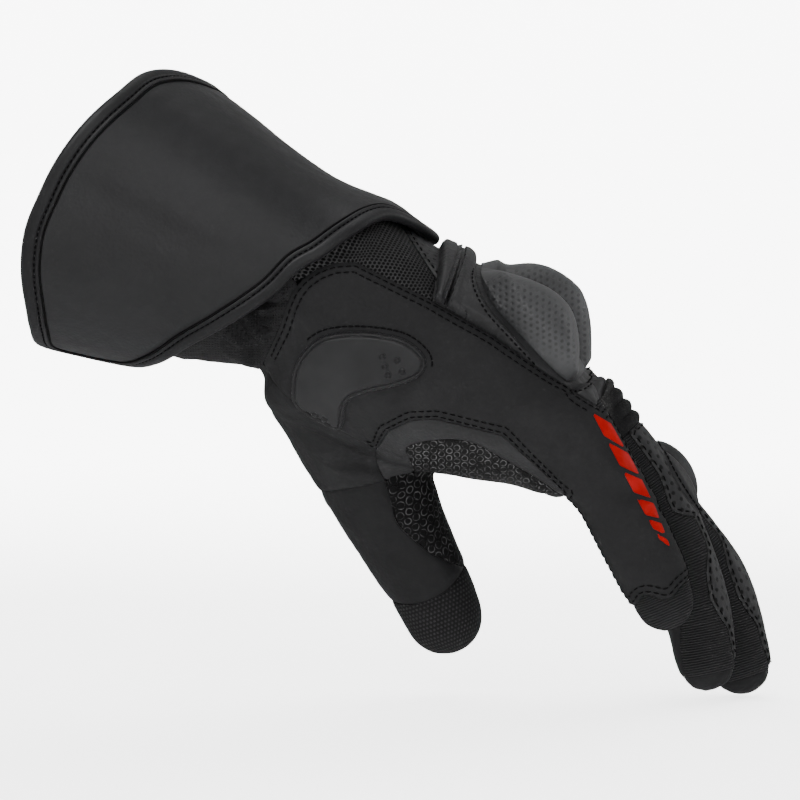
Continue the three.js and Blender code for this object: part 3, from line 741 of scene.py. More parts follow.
def region_mesh(field, take=True):
    """The skin inside a field and outside the panels made before, with its values at each point."""
    global taken
    left = np.maximum(field, GAP - taken) if take else field
    distance = surface_distance(np.clip(left, -DISTANCE_LIMIT, DISTANCE_LIMIT))
    near = (left < 3)[skin_triangles].any(1)
    carried = np.column_stack([normals, distance, hand_along, hand_turn])
    points, triangles, _, values = clipped(skin, skin_triangles[near], left, carried)
    points, triangles, values = biggest(points, triangles, values)
    if take:
        taken = np.minimum(taken, field)
    n = values[:, :3]
    return points, triangles, n / np.linalg.norm(n, axis=1, keepdims=True), values[:, 3:]


def finished(obj, node, material):
    obj.data.materials.clear()
    obj.data.materials.append(material)
    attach(obj, "root")
    if node:
        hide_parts(node)


# One stitch is a thread that dips into the leather at both ends: where along it, height, share of the radius
STITCH = [
    (-1, -0.55, 0.35), (-0.8, -0.05, 0.85), (-0.35, 0.16, 1), (0, 0.2, 1), (0.35, 0.16, 1),
    (0.8, -0.05, 0.85), (1, -0.55, 0.35),
]
STITCH_SIDES = 5


def stitch_row(name, lines, slot, pitch, length=2.2, radius=0.3, keep=None):
    """Stitches along lines of points, each line with the normals at its points."""
    points, faces = [], []
    turns = np.linspace(0, 2 * math.pi, STITCH_SIDES, endpoint=False)
    for line, find_normal in lines:
        spots, directions = even_points(line, pitch)
        for spot, direction in zip(spots, directions):
            if keep is not None and not keep(spot):
                continue
            up = find_normal(spot)
            direction = direction - up * (direction @ up)
            direction /= np.linalg.norm(direction)
            side = np.cross(up, direction)
            first = len(points)
            for s, h, r in STITCH:
                centre = spot + direction * s * length / 2 + up * h
                for t in turns:
                    points.append(centre + (side * math.cos(t) + up * math.sin(t) * 0.8) * radius * r)
            for i in range(len(STITCH) - 1):
                for k in range(STITCH_SIDES):
                    n = (k + 1) % STITCH_SIDES
                    at = first + i * STITCH_SIDES
                    faces.append((at + k, at + n, at + n + STITCH_SIDES, at + k + STITCH_SIDES))
            faces.append(tuple(first + k for k in reversed(range(STITCH_SIDES))))
            last = first + (len(STITCH) - 1) * STITCH_SIDES
            faces.append(tuple(last + k for k in range(STITCH_SIDES)))
    if points:
        finished(new_object(name, points, faces), None, THREAD_AND_SHADOW_CORD)


def normal_finder(points, point_normals):
    tree = KDTree(len(points))
    for i, p in enumerate(points):
        tree.insert(p, i)
    tree.balance()
    return lambda spot: point_normals[tree.find(spot)[1]]


def panel(node, slot, material, field, lift=0.0, edge=0.7, rough=0.12, rough_size=9, wall=WALL,
          stitches=(), stitch_keep=None, pitch=3.0, detail=0, shape=None, take=True, flow=None,
          inner_lift=None):
    """A piece of leather or cloth that replaces a node. It curves in at its edge, wrinkles and has stitches."""
    points, triangles, n, values = region_mesh(field, take)
    for _ in range(detail):
        points, triangles, n, values = subdivided(points, triangles, n, values)
        points = relaxed_inside(points, triangles)
    inside = -values[:, 0]
    height = lift - edge * np.exp(-np.maximum(inside, 0) / EDGE_SOFTNESS)
    height += rough * wobble(points, rough_size, ROUGH_SEED) * smoothstep(0, 5, inside)
    height += folded(node, points) * smoothstep(0.5, 4, inside)
    if shape is not None:
        height = shape(points, inside, height, values)
    outer = points + n * height[:, None]
    low = -wall if inner_lift is None else inner_lift
    inner = points + n * np.minimum(low, height - 0.5)[:, None]
    flow_values = None
    if flow is not None:
        along, turn, radius = flow.coordinates(points)
        flow_values = np.column_stack([along, turn * np.median(radius), radius])
    obj = thick_object(node, outer, inner, triangles, flow_values)
    finished(obj, node, material)
    if stitches:
        find = normal_finder(outer, vertex_normals(outer, triangles))
        lines = []
        for level in stitches:
            for line in level_lines(outer, triangles, values[:, 0], -level):
                lines.append((line, find))
        stitch_row("stitches_" + node, lines, slot, pitch, keep=stitch_keep)
    return outer, triangles


def stitches_beside(name, outline, points, triangles, away, slot, **look):
    """A row of stitches on a panel, at a distance outside an outline."""
    from_outline = polygon_distance(rounded(OUTLINES[outline]), points[:, 0], points[:, 2])
    find = normal_finder(points, vertex_normals(points, triangles))
    lines = [(line, find) for line in level_lines(points, triangles, from_outline, away)]
    stitch_row(name, lines, slot, **look)


def relaxed_inside(points, triangles):
    """Subdivided points rounded a little, with the rim left where it is."""
    rim = np.unique(np.array(rim_edges(triangles)).ravel())
    moved = relaxed(points, triangles, 2, 0.35)
    moved[rim] = points[rim]
    return moved


# Materials
def grey(level, blue=None):
    return level, level, level if blue is None else blue


def material(name, build, color, roughness, specular):
    mat = bpy.data.materials.new(name)
    mat.use_nodes = True
    tree = mat.node_tree
    shader = tree.nodes["Principled BSDF"]
    shader.inputs["Base Color"].default_value = (*color, 1)
    shader.inputs["Roughness"].default_value = roughness
    shader.inputs["Specular IOR Level"].default_value = specular
    build(tree, shader)
    return mat


def place(tree, size_mm, source="object"):
    """Texture coordinates in units of size_mm."""
    if source == "object":
        out = tree.nodes.new("ShaderNodeTexCoord").outputs["Object"]
        unit = 1 / (size_mm * MM)
    else:
        attribute = tree.nodes.new("ShaderNodeAttribute")
        attribute.attribute_name = "flow"
        out = attribute.outputs["Vector"]
        unit = 1 / size_mm
    mapping = tree.nodes.new("ShaderNodeMapping")
    mapping.inputs["Scale"].default_value = [unit] * 3
    tree.links.new(out, mapping.inputs["Vector"])
    return mapping.outputs["Vector"]


def noise(tree, vector, detail, roughness=0.5):
    node = tree.nodes.new("ShaderNodeTexNoise")
    node.inputs["Scale"].default_value = 1
    node.inputs["Detail"].default_value = detail
    node.inputs["Roughness"].default_value = roughness
    tree.links.new(vector, node.inputs["Vector"])
    return node.outputs["Fac"]


def voronoi(tree, vector, feature="F1", randomness=1.0):
    node = tree.nodes.new("ShaderNodeTexVoronoi")
    node.feature = feature
    node.inputs["Scale"].default_value = 1
    node.inputs["Randomness"].default_value = randomness
    tree.links.new(vector, node.inputs["Vector"])
    return node.outputs["Distance"]


def math_node(tree, operation, a, b=None):
    node = tree.nodes.new("ShaderNodeMath")
    node.operation = operation
    for socket, value in zip(node.inputs, (a, b)):
        if value is None:
            continue
        if isinstance(value, (int, float)):
            socket.default_value = value
        else:
            tree.links.new(value, socket)
    return node.outputs[0]


def ramp(tree, value, low, high, to_low=0.0, to_high=1.0):
    node = tree.nodes.new("ShaderNodeMapRange")
    node.inputs["From Min"].default_value = low
    node.inputs["From Max"].default_value = high
    node.inputs["To Min"].default_value = to_low
    node.inputs["To Max"].default_value = to_high
    node.clamp = True
    tree.links.new(value, node.inputs["Value"])
    return node.outputs[0]


def mixed(tree, factor, a, b):
    node = tree.nodes.new("ShaderNodeMix")
    node.data_type = "RGBA"
    tree.links.new(factor, node.inputs["Factor"])
    node.inputs["A"].default_value = (*a, 1)
    node.inputs["B"].default_value = (*b, 1)
    return node.outputs["Result"]


def bump(tree, height, strength, distance_mm, after=None):
    node = tree.nodes.new("ShaderNodeBump")
    node.inputs["Strength"].default_value = strength
    node.inputs["Distance"].default_value = distance_mm * MM
    tree.links.new(height, node.inputs["Height"])
    if after is not None:
        tree.links.new(after, node.inputs["Normal"])
    return node.outputs["Normal"]


def leather(color, light, roughness, spread, grain, pores=1.6):
    """Leather: fine creased grain, slow changes of tone and of gloss."""
    def build(tree, shader):
        fine = voronoi(tree, place(tree, pores), "F1")
        cells = noise(tree, place(tree, pores * 0.7), 6, 0.65)
        slow = noise(tree, place(tree, 22), 3)
        wear = noise(tree, place(tree, 4.5), 5, 0.6)
        both = math_node(tree, "MULTIPLY", ramp(tree, slow, 0.3, 0.75), ramp(tree, wear, 0.2, 0.8))
        tree.links.new(mixed(tree, both, color, light), shader.inputs["Base Color"])
        gloss = math_node(tree, "ADD", ramp(tree, wear, 0.25, 0.75, -spread, spread), roughness)
        tree.links.new(gloss, shader.inputs["Roughness"])
        height = math_node(tree, "ADD", fine, cells)
        first = bump(tree, height, grain, 0.25)
        tree.links.new(bump(tree, wear, grain * 0.5, 0.5, first), shader.inputs["Normal"])
    return build


def suede_leather(color, light, roughness):
    """Matte leather with a short nap and a pebbled surface."""
    def build(tree, shader):
        nap = noise(tree, place(tree, 0.9), 8, 0.75)
        pebble = voronoi(tree, place(tree, 1.3), "SMOOTH_F1")
        slow = noise(tree, place(tree, 14), 5, 0.6)
        tone = math_node(tree, "MULTIPLY", ramp(tree, slow, 0.3, 0.75), ramp(tree, nap, 0.2, 0.8))
        tree.links.new(mixed(tree, tone, color, light), shader.inputs["Base Color"])
        gloss = math_node(tree, "ADD", ramp(tree, slow, 0.3, 0.7, -0.06, 0.06), roughness)
        tree.links.new(gloss, shader.inputs["Roughness"])
        first = bump(tree, pebble, 0.35, 0.3)
        tree.links.new(bump(tree, nap, 0.5, 0.2, first), shader.inputs["Normal"])
    return build


def mesh_cloth(color, dark, cell):
    """Knitted air mesh: a grid of small holes between raised threads, with painted shade in the holes."""
    def build(tree, shader):
        cells = voronoi(tree, place(tree, cell), "F1", 0.25)
        thread = noise(tree, place(tree, cell * 0.25), 3)
        hole = ramp(tree, cells, 0.25, 0.42)
        # Painted shade: the holes take the dark colour, the threads the lighter one
        tree.links.new(mixed(tree, hole, dark, color), shader.inputs["Base Color"])
        height = math_node(tree, "ADD", hole, math_node(tree, "MULTIPLY", thread, 0.3))
        tree.links.new(bump(tree, height, 0.8, 0.5), shader.inputs["Normal"])
    return build


def ribbed_cloth(color, dark, pitch):
    """Stretch cloth with ribs across it, with painted shade in the grooves between the ribs."""
    def build(tree, shader):
        along = split_xyz(tree, place(tree, pitch / (2 * math.pi), "flow"))[0]
        wave = math_node(tree, "SINE", along)
        weave = noise(tree, place(tree, 0.7), 3)
        high = ramp(tree, wave, -0.9, 0.6)
        # Painted shade: the grooves between the ribs take the dark colour
        tree.links.new(mixed(tree, high, dark, color), shader.inputs["Base Color"])
        height = math_node(tree, "ADD", high, math_node(tree, "MULTIPLY", weave, 0.4))
        tree.links.new(bump(tree, height, 0.7, 0.5), shader.inputs["Normal"])
    return build


def split_xyz(tree, vector):
    node = tree.nodes.new("ShaderNodeSeparateXYZ")
    tree.links.new(vector, node.inputs[0])
    return node.outputs


def dot_distance(tree, pitch, source="flow", second=1):
    """Distance from the nearest dot of staggered rows, in pitches. The rows lie along the second axis."""
    split = split_xyz(tree, place(tree, pitch, source))
    row = math_node(tree, "FLOOR", split[0])
    shift = math_node(tree, "MULTIPLY", math_node(tree, "MODULO", row, 2.0), 0.5)
    u = math_node(tree, "SUBTRACT", math_node(tree, "FRACT", split[0]), 0.5)
    v = math_node(tree, "FRACT", math_node(tree, "ADD", split[second], shift))
    v = math_node(tree, "SUBTRACT", v, 0.5)
    u = math_node(tree, "MULTIPLY", u, u)
    v = math_node(tree, "MULTIPLY", v, v)
    return math_node(tree, "SQRT", math_node(tree, "ADD", u, v))


def perforated(cover, pitch, hole, depth):
    """A leather or cloth with rows of small holes. The holes are not cut: a bump presses them in and their
    inside is painted near black as shade.
    """
    def build(tree, shader):
        cover(tree, shader)
        base = shader.inputs["Base Color"].links[0].from_socket
        normal = shader.inputs["Normal"].links[0].from_socket
        away = dot_distance(tree, pitch)
        solid = ramp(tree, away, hole / pitch * 0.4, hole / pitch * 0.56)
        mix = tree.nodes.new("ShaderNodeMix")
        mix.data_type = "RGBA"
        tree.links.new(solid, mix.inputs["Factor"])
        # Painted shade: the holes are painted near black where their inside would lie in shade
        mix.inputs["A"].default_value = (*HOLE_SHADE_COLOR, 1)
        tree.links.new(base, mix.inputs["B"])
        tree.links.new(mix.outputs["Result"], shader.inputs["Base Color"])
        tree.links.new(bump(tree, solid, 0.5, depth, normal), shader.inputs["Normal"])
    return build


def moulded(color, light, dimples=None):
    """Moulded plastic, lighter where it is rubbed. The dimples' pitch is given in mm; the dimples are pressed
    in by a bump and painted darker as shade.
    """
    def build(tree, shader):
        fine = noise(tree, place(tree, 0.6), 3)
        slow = noise(tree, place(tree, 9), 4)
        tree.links.new(ramp(tree, slow, 0.3, 0.7, 0.4, 0.5), shader.inputs["Roughness"])
        tone, normal = ramp(tree, slow, 0.3, 0.7), None
        if dimples:
            flat = dimple_mask(tree, dimples)
            # Painted shade: the colour is darkened inside the dimples
            tone = math_node(tree, "MULTIPLY", ramp(tree, slow, 0.3, 0.7, 0.6, 1), flat)
            normal = bump(tree, flat, 0.5, 0.35)
        tree.links.new(mixed(tree, tone, color, light), shader.inputs["Base Color"])
        tree.links.new(bump(tree, fine, 0.12, 0.1, normal), shader.inputs["Normal"])
    return build


def dimple_mask(tree, pitch):
    """Zero in the dimples on the upper sides of the guard and one elsewhere."""
    away = dot_distance(tree, pitch, "object", 2)
    dimple = ramp(tree, away, 0.36, 0.16)
    split = split_xyz(tree, place(tree, 1.0))
    forward = math_node(tree, "MULTIPLY", split[0], math.sin(HAND_SLOPE))
    upward = math_node(tree, "MULTIPLY", split[2], math.cos(HAND_SLOPE))
    height = math_node(tree, "ADD", forward, upward)
    facing = split_xyz(tree, tree.nodes.new("ShaderNodeNewGeometry").outputs["True Normal"])
    sideways = ramp(tree, math_node(tree, "ABSOLUTE", facing[1]), 0.35, 0.6)
    where = math_node(tree, "MULTIPLY", ramp(tree, height, 20, 27), sideways)
    return math_node(tree, "SUBTRACT", 1.0, math_node(tree, "MULTIPLY", dimple, where))


def honeycomb(color, line, pitch, source="flow", second=1):
    """Dark cloth with a lighter raised ring in each cell."""
    def build(tree, shader):
        away = dot_distance(tree, pitch, source, second)
        wear = noise(tree, place(tree, 2.5), 4)
        uneven = math_node(tree, "ADD", away, ramp(tree, wear, 0.3, 0.7, -0.06, 0.06))
        outer = ramp(tree, uneven, 0.47, 0.43)
        inner = ramp(tree, uneven, 0.31, 0.35)
        ring = math_node(tree, "MULTIPLY", outer, inner)
        tone = math_node(tree, "MULTIPLY", ring, ramp(tree, wear, 0.4, 0.6))
        tree.links.new(mixed(tree, tone, color, line), shader.inputs["Base Color"])
        tree.links.new(bump(tree, ring, 0.8, 0.5), shader.inputs["Normal"])
    return build


def dotted(color, light, pitch):
    """Cloth with rows of small raised dots."""
    def build(tree, shader):
        dot = ramp(tree, dot_distance(tree, pitch), 0.34, 0.2)
        weave = noise(tree, place(tree, 0.6), 4)
        tree.links.new(mixed(tree, dot, color, light), shader.inputs["Base Color"])
        height = math_node(tree, "ADD", dot, math_node(tree, "MULTIPLY", weave, 0.3))
        tree.links.new(bump(tree, height, 0.7, 0.4), shader.inputs["Normal"])
    return build


def two_cloths(near, far, edge, blend, cell):
    """Coarse cloth that turns from one tone to another at the distance edge along X."""
    def build(tree, shader):
        split = split_xyz(tree, place(tree, 1.0))
        cells = voronoi(tree, place(tree, cell), "F1", 0.6)
        weave = ramp(tree, cells, 0.2, 0.5, 1, 0.35)
        beyond = ramp(tree, split[0], edge - blend, edge + blend)
        tone = math_node(tree, "MULTIPLY", math_node(tree, "SUBTRACT", 1.0, beyond), weave)
        tree.links.new(mixed(tree, tone, far, near), shader.inputs["Base Color"])
        tree.links.new(bump(tree, cells, 0.6, 0.5), shader.inputs["Normal"])
    return build


def thread_look(color, dark):
    def build(tree, shader):
        twist = noise(tree, place(tree, 0.5), 2)
        tree.links.new(mixed(tree, ramp(tree, twist, 0.3, 0.7), dark, color), shader.inputs["Base Color"])
        tree.links.new(bump(tree, twist, 0.4, 0.2), shader.inputs["Normal"])
    return build


CUFF = material(
    "cuff_leather", leather(grey(0.0085, 0.0092), grey(0.0115, 0.0125), 0.45, 0.06, 0.2, 1.3),
    grey(0.01, 0.011), 0.45, 0.35)
BINDING = material(
    "binding_leather", leather(grey(0.0065, 0.007), grey(0.0095, 0.0105), 0.42, 0.06, 0.2, 1.1),
    grey(0.008), 0.42, 0.3)
SUEDE = material(
    "side_leather", suede_leather(grey(0.0075, 0.008), grey(0.013, 0.0135), 0.72),
    grey(0.01), 0.72, 0.16)
SMOOTH = material(
    "smooth_leather", leather(grey(0.0115, 0.012), grey(0.0175, 0.0185), 0.45, 0.06, 0.25, 1.2),
    grey(0.014), 0.45, 0.28)
PALM = material(
    "palm_leather", leather(grey(0.0065, 0.007), grey(0.010, 0.0107), 0.52, 0.08, 0.3, 1.5),
    grey(0.008), 0.52, 0.22)
PUNCHED = material(
    "punched_leather",
    perforated(leather(grey(0.0125, 0.013), grey(0.020, 0.021), 0.48, 0.08, 0.25), 3.0, 1.4, 0.2),
    grey(0.012), 0.48, 0.28)
STRETCH = material(
    "stretch_cloth", ribbed_cloth(grey(0.0125, 0.013), grey(0.004, 0.0044), 0.85),
    grey(0.007), 0.75, 0.15)
LINING = material(
    "cuff_cloth", mesh_cloth(grey(0.0075, 0.008), grey(0.004, 0.0045), 0.9), grey(0.01), 0.6, 0.2)
AIR_MESH = material(
    "air_mesh", perforated(suede_leather(grey(0.018, 0.0185), grey(0.028, 0.0285), 0.7), 1.25, 1.02, 0.6),
    grey(0.007), 0.7, 0.12)
GREY_CLOTH = material(
    "grey_cloth", two_cloths(grey(0.045, 0.044), grey(0.009, 0.0093), 101, 1.5, 0.8), grey(0.01), 0.8, 0.06)
GUARD = material(
    "moulded_guard", moulded((0.018, 0.0182, 0.0187), (0.036, 0.0365, 0.0378), 2.0),
    grey(0.03, 0.031), 0.42, 0.3)
SLIDER = material(
    "moulded_slider", moulded(grey(0.0115, 0.012), grey(0.014, 0.0147)), grey(0.013), 0.45, 0.25)
GRIP = material(
    "grip_rubber", honeycomb(grey(0.005), grey(0.06, 0.061), 2.5, "object", 2),
    grey(0.01), 0.6, 0.15)
HEX_CLOTH = material(
    "gusset_cloth", honeycomb(grey(0.0035, 0.0036), grey(0.035, 0.0355), 3.3), grey(0.007), 0.75, 0.06)
DOTTED = material(
    "dotted_cloth", dotted(grey(0.005, 0.0053), grey(0.016, 0.0165), 1.35), grey(0.007), 0.7, 0.12)
# The thread's near black also paints the shadow cord along the binding's inner edge
THREAD_AND_SHADOW_CORD = material("thread", thread_look(grey(0.004, 0.0042), grey(0.0015, 0.0016)), grey(0.003), 0.6, 0.06)
RED = material(
    "red_print", leather((0.2, 0.0006, 0.0004), (0.17, 0.0005, 0.0004), 0.5, 0.04, 0.12, 1.3),
    (0.2, 0.001, 0.001), 0.5, 0.08)


def beside_finger(form, low, high, start, end, steps=16):
    """Outline of a part of a finger seen from the side, between two distances from its middle line."""
    distances = np.linspace(start, end, steps + 1)
    reach = form.length + form.end
    sides = []
    for offset in (high, low):
        table = offset if isinstance(offset, list) else [(0, offset)]
        shares, offsets = np.array(table, float).T
        frames = [(form.at(d), np.interp(d / reach, shares, offsets)) for d in distances]
        sides.append([(f[1][0] + f[3][0] * o, f[1][2] + f[3][2] * o) for f, o in frames])
    return sides[0] + sides[1][::-1]


# Thumb
panel("thumb_tip", "stretch_cloth", DOTTED, named_field("thumbTip"), edge=0.5, flow=THUMB)
panel("thumb_gusset", "stretch_cloth", HEX_CLOTH, named_field("thumbGusset", -10, 21), edge=0.6, flow=THUMB)
panel("thumb_back", "smooth_leather", PALM, named_field("thumbAll"), edge=0.7, rough=0.35, rough_size=16)

# Little finger and the panel along the hand's side
panel("little_tip", "stretch_cloth", STRETCH, named_field("littleTip", high=LITTLE_RING), edge=0.4,
      flow=FINGERS["little"])
# Slanted red bars printed along the back edge of the little finger, on the side panel
BAR_UPPER = ((609, 421), (635, 466), (656, 509), (672, 551))
BAR_LOWER = ((592, 413), (618, 462), (644, 512), (664, 547))
BARS = ((0.03, 0.21), (0.25, 0.41), (0.45, 0.59), (0.63, 0.75), (0.79, 0.88), (0.92, 0.98))
BAR_SLANT = 0.05


def along_pixels(line, share):
    where = share * (len(line) - 1)
    u = np.interp(where, range(len(line)), [p[0] for p in line])
    v = np.interp(where, range(len(line)), [p[1] for p in line])
    return seen_at(u, v, -45)


bar_outlines = []
for start, end in BARS:
    steps = np.linspace(start, end, 6)
    outline = [along_pixels(BAR_UPPER, t) for t in steps]
    outline += [along_pixels(BAR_LOWER, t - BAR_SLANT) for t in steps[::-1]]
    bar_outlines.append(outline)


def from_bars(points):
    distances = [polygon_distance(outline, points[:, 0], points[:, 2]) for outline in bar_outlines]
    return np.maximum(np.minimum.reduce(distances), points[:, 1] + 30)


def side_stitched(spot):
    """The side panel has no stitches at the heel of the hand and none across the printed bars."""
    at_heel = -16 < spot[0] < 22 and spot[2] < -26
    return not at_heel and from_bars(np.array([spot]))[0] > 0.4


side_field = np.minimum(named_field("sideHand", high=-4), named_field("sideLittle", high=-34))
side_outer, side_triangles = panel(
    "side_panel", "suede", SUEDE, side_field, lift=0.35, edge=0.9, rough=0.3, rough_size=18,
    stitches=(1.4, 3.4), stitch_keep=side_stitched, pitch=2.6)
bar_field = from_bars(side_outer)
side_normals = vertex_normals(side_outer, side_triangles)

# A row of stitches over the slider
stitches_beside("stitches_slider", "slider", side_outer, side_triangles, 1.7, "suede", pitch=2.1,
                keep=lambda spot: spot[0] > 3 and spot[2] > -28)

bar_points, bar_triangles, _, bar_normals = clipped(side_outer, side_triangles, bar_field, side_normals)
bar_top, bar_bottom = bar_points + bar_normals * 0.14, bar_points - bar_normals * 0.15
finished(thick_object("print_bars", bar_top, bar_bottom, bar_triangles), None, RED)

panel("little_inner", "stretch_cloth", STRETCH, named_field("littleAll", high=LITTLE_RING), edge=0.5,
      flow=FINGERS["little"])

# Ring, middle and index fingers
RANGES = {
    "ring": (LITTLE_RING, RING_MIDDLE),
    "middle": (RING_MIDDLE, MIDDLE_INDEX),
    "index": (MIDDLE_INDEX, REACH),
}
ROOTS = {"ring": 19, "middle": 22, "index": 17}
for finger, (low, high) in RANGES.items():
    form = FINGERS[finger]
    centre = form.at(form.length / 2)[1][1]
    root = ROOTS[finger]
    reach = form.length + form.end
    back = outline_field(beside_finger(form, BACK_EDGE, 40, root, reach - 5, 40), low, high, True)
    strip = beside_finger(form, STRETCH_EDGE, 14, root, reach - 6)
    front = outline_field(beside_finger(form, -40, 40, root, reach + 6), low, high, True)
    panel(finger + "_back", "smooth_leather", PUNCHED, back, edge=0.6, flow=form, stitches=(1.2,),
          lift=0.3)
    for side, near, far in (("_side_ulnar", low, centre), ("_side_radial", centre, high)):
        side_strip = outline_field(strip, near, far, True)
        panel(finger + side, "stretch_cloth", STRETCH, side_strip, edge=0.5, flow=form)
    panel(finger + "_front", "smooth_leather", PALM, front, edge=0.6, rough=0.3, rough_size=12)

# Hand and arm
beyond_cuff = named_field("beyondCuff")
taken = np.minimum(taken, beyond_cuff)


def gathered(points, inside, height, values):
    """Soft cloth drawn in at the wrist: folds round the arm that fade away from the wrist."""
    along, turn = values[:, 1], values[:, 2]
    near = smoothstep(50, 80, along) * (0.15 + 0.85 * smoothstep(-0.1, 0.7, np.sin(turn)))
    phase = math.pi * along / GATHER_PITCH + 1.1 * np.sin(2.3 * turn + 0.8) + 0.5 * wobble(points, 26, 8, 2)
    folds = 1.5 * np.abs(np.sin(phase)) ** 0.8 - 1.0
    cross = 0.3 * np.sin(turn * 17 + 0.8 * np.sin(along / 5))
    return height + near * (folds + cross) * smoothstep(1, 7, inside) + 0.3 * wobble(points, 14, 5)


inner_field = np.minimum(named_field("innerCuff"), named_field("innerCuffNear", high=-4))
panel("inner_cuff", "stretch_cloth", LINING, inner_field, edge=0.4, shape=gathered, wall=1.9)
panel("wrist_mesh", "mesh_cloth", AIR_MESH, named_field("wristMesh"), edge=0.6, rough=0.4, rough_size=16,
      flow=HAND)
panel("wrist_strip", "smooth_leather", PUNCHED, named_field("wristStrip"), lift=0.3, edge=0.6, flow=HAND,
      stitches=(1.3,))


def surround(points, inside, height, values):
    """The leather round the guard is padded beside the wrist rolls and thins out towards the fingers."""
    raised = smoothstep(102, 60, points[:, 0]) * smoothstep(44, 52, points[:, 0])
    outside = polygon_distance(rounded(OUTLINES["guard"]), points[:, 0], points[:, 2])
    rim = (smoothstep(0, 2.4, inside) * smoothstep(0.2, 2.6, outside)) ** 0.6
    return height + SURROUND_HEIGHT * raised * rim


back_outer, back_triangles = panel(
    "back_panel", "smooth_leather", SMOOTH, named_field("back"), lift=0.2, edge=0.7, shape=surround, detail=1)

# A row of stitches round the guard
stitches_beside("stitches_guard", "guard", back_outer, back_triangles, 1.2, "smooth_leather", pitch=2.1,
                length=1.6)


def ribbed(points, inside, height, values):
    """Cloth folded into ribs across each finger root."""
    ridge = np.zeros(len(points))
    for finger, (low, high) in RANGES.items():
        along, _, _ = FINGERS[finger].coordinates(points)
        phase = (along - ROOTS[finger]) / RIB_PITCH
        wave = np.abs(np.sin(math.pi * phase)) ** 0.7
        middle = FINGERS[finger].at(0)[1][1]
        across = smoothstep(10.5, 7.5, np.abs(points[:, 1] - middle))
        ridge = np.maximum(ridge, wave * across * (points[:, 0] > 99))
    return height + RIB_HEIGHT * ridge


panel("knuckle_cloth", "mesh_cloth", GREY_CLOTH, named_field("knuckleCloth"), edge=0.6, shape=ribbed,
      detail=1)
panel("radial_panel", "suede", SUEDE, named_field("radial", low=4), edge=0.7, rough=0.3, rough_size=18,
      stitches=(1.5, 3.6))
panel("grip_insert", "moulded_pad", GRIP, named_field("grip", high=26), lift=0.2, edge=0.6)
panel("palm_inset", "smooth_leather", SMOOTH, named_field("inset", high=30), lift=0.2, edge=0.7)
panel("palm_main", "suede", SUEDE, -beyond_cuff, edge=0.7, rough=0.3, rough_size=24)

# Pieces that lie on the shell
DIMPLES = ((383, 356), (398, 360), (386, 366), (403, 371), (389, 374))
SLOTS = ((309.6, 413), (316.7, 413.6), (326.2, 417.4), (319.8, 418.2), (328.7, 423.3))


def slider_shape(points, inside, height, values):
    """A flat raised pad with a rounded rim, a step inside it, round dimples and short slots."""
    side = smoothstep(0, 0.9, inside) ** 0.6
    top = SLIDER_HEIGHT * (0.2 + 0.8 * side)
    top -= 0.6 * hump(inside - 1.5, 0.35)
    for u, v in DIMPLES:
        x, z = seen_at(u, v)
        d = np.hypot(points[:, 0] - x, points[:, 2] - z)
        top -= 0.7 * smoothstep(1.2, 0.6, d)
    for u, v in SLOTS:
        x, z = seen_at(u, v)
        d, t = to_segment(points, (x - 0.8, z + 0.5), (x + 0.8, z - 0.5))
        top -= 0.6 * smoothstep(0.6, 0.25, np.abs(d)) * between_ends(t, -0.2, 0.1)
    return top


panel("palm_slider", "moulded_pad", SLIDER, named_field("slider", high=-4), take=False, shape=slider_shape,
      inner_lift=0.2, detail=2)


def eased(table, step=0.25, reach=10):
    """A table of positions and values as a fine curve without corners."""
    x, y = np.array(table, float).T
    fine = np.arange(x[0], x[-1] + step, step)
    values = np.pad(np.interp(fine, x, y), reach, mode="reflect", reflect_type="odd")
    kernel = np.hanning(2 * reach + 3)[1:-1]
    return fine, np.convolve(values, kernel / kernel.sum(), mode="valid")


seam_curve = eased(GUARD_SEAM)
ridge_curves = [(middle, low, high, eased(table)) for middle, low, high, table in GUARD_RIDGES]


def guard_top(along, across):
    """Height of the guard's top in the frame of the hand's slope: rounded ridges side by side."""
    seam = np.interp(along, *seam_curve)
    total = np.zeros(len(along))
    for middle, low, high, curve in ridge_curves:
        share = np.abs(across - middle) / np.where(across < middle, low, high)
        bulge = np.clip(1 - share**GUARD_POWER, 0, 1) ** (1 / GUARD_POWER)
        ridge = seam + (np.interp(along, *curve) - seam) * bulge - 30 * np.maximum(share - 1, 0)
        total += np.exp(1.5 * ridge)
    return np.log(total) / 1.5


def guard_shape(points, inside, height, values):
    """How far out from the skin the guard's top lies, found by halving."""
    directions = np.array([skin_normal(p) for p in points])
    low, high = np.zeros(len(points)), np.full(len(points), GUARD_REACH)
    c, s = math.cos(HAND_SLOPE), math.sin(HAND_SLOPE)
    for _ in range(HALVINGS):
        middle = (low + high) / 2
        spot = points + directions * middle[:, None]
        under = s * spot[:, 0] + c * spot[:, 2] < guard_top(c * spot[:, 0] - s * spot[:, 2], spot[:, 1])
        low, high = np.where(under, middle, low), np.where(under, high, middle)
    edge = smoothstep(0, 1, inside / (1.8 + 4 * smoothstep(68, 61, points[:, 0]))) ** 0.6
    return np.maximum(low, 1.6) * (0.25 + 0.75 * edge)


skin_normal = normal_finder(skin, normals)
panel("knuckle_guard", "moulded_guard", GUARD, named_field("guard", high=42) + GUARD_RECESS, take=False,
      shape=guard_shape, inner_lift=0.2, detail=1, flow=HAND)

not_guard = 0.3 - named_field("guard")


# Between the rolls runs a narrow gap, and a groove runs in the first one, without the stitches that the glove
# has in it
ROLL_GAP = (54.9, 12), (46.3, -11)
ROLL_GROOVE = (52.5, 12), (44.5, -11)


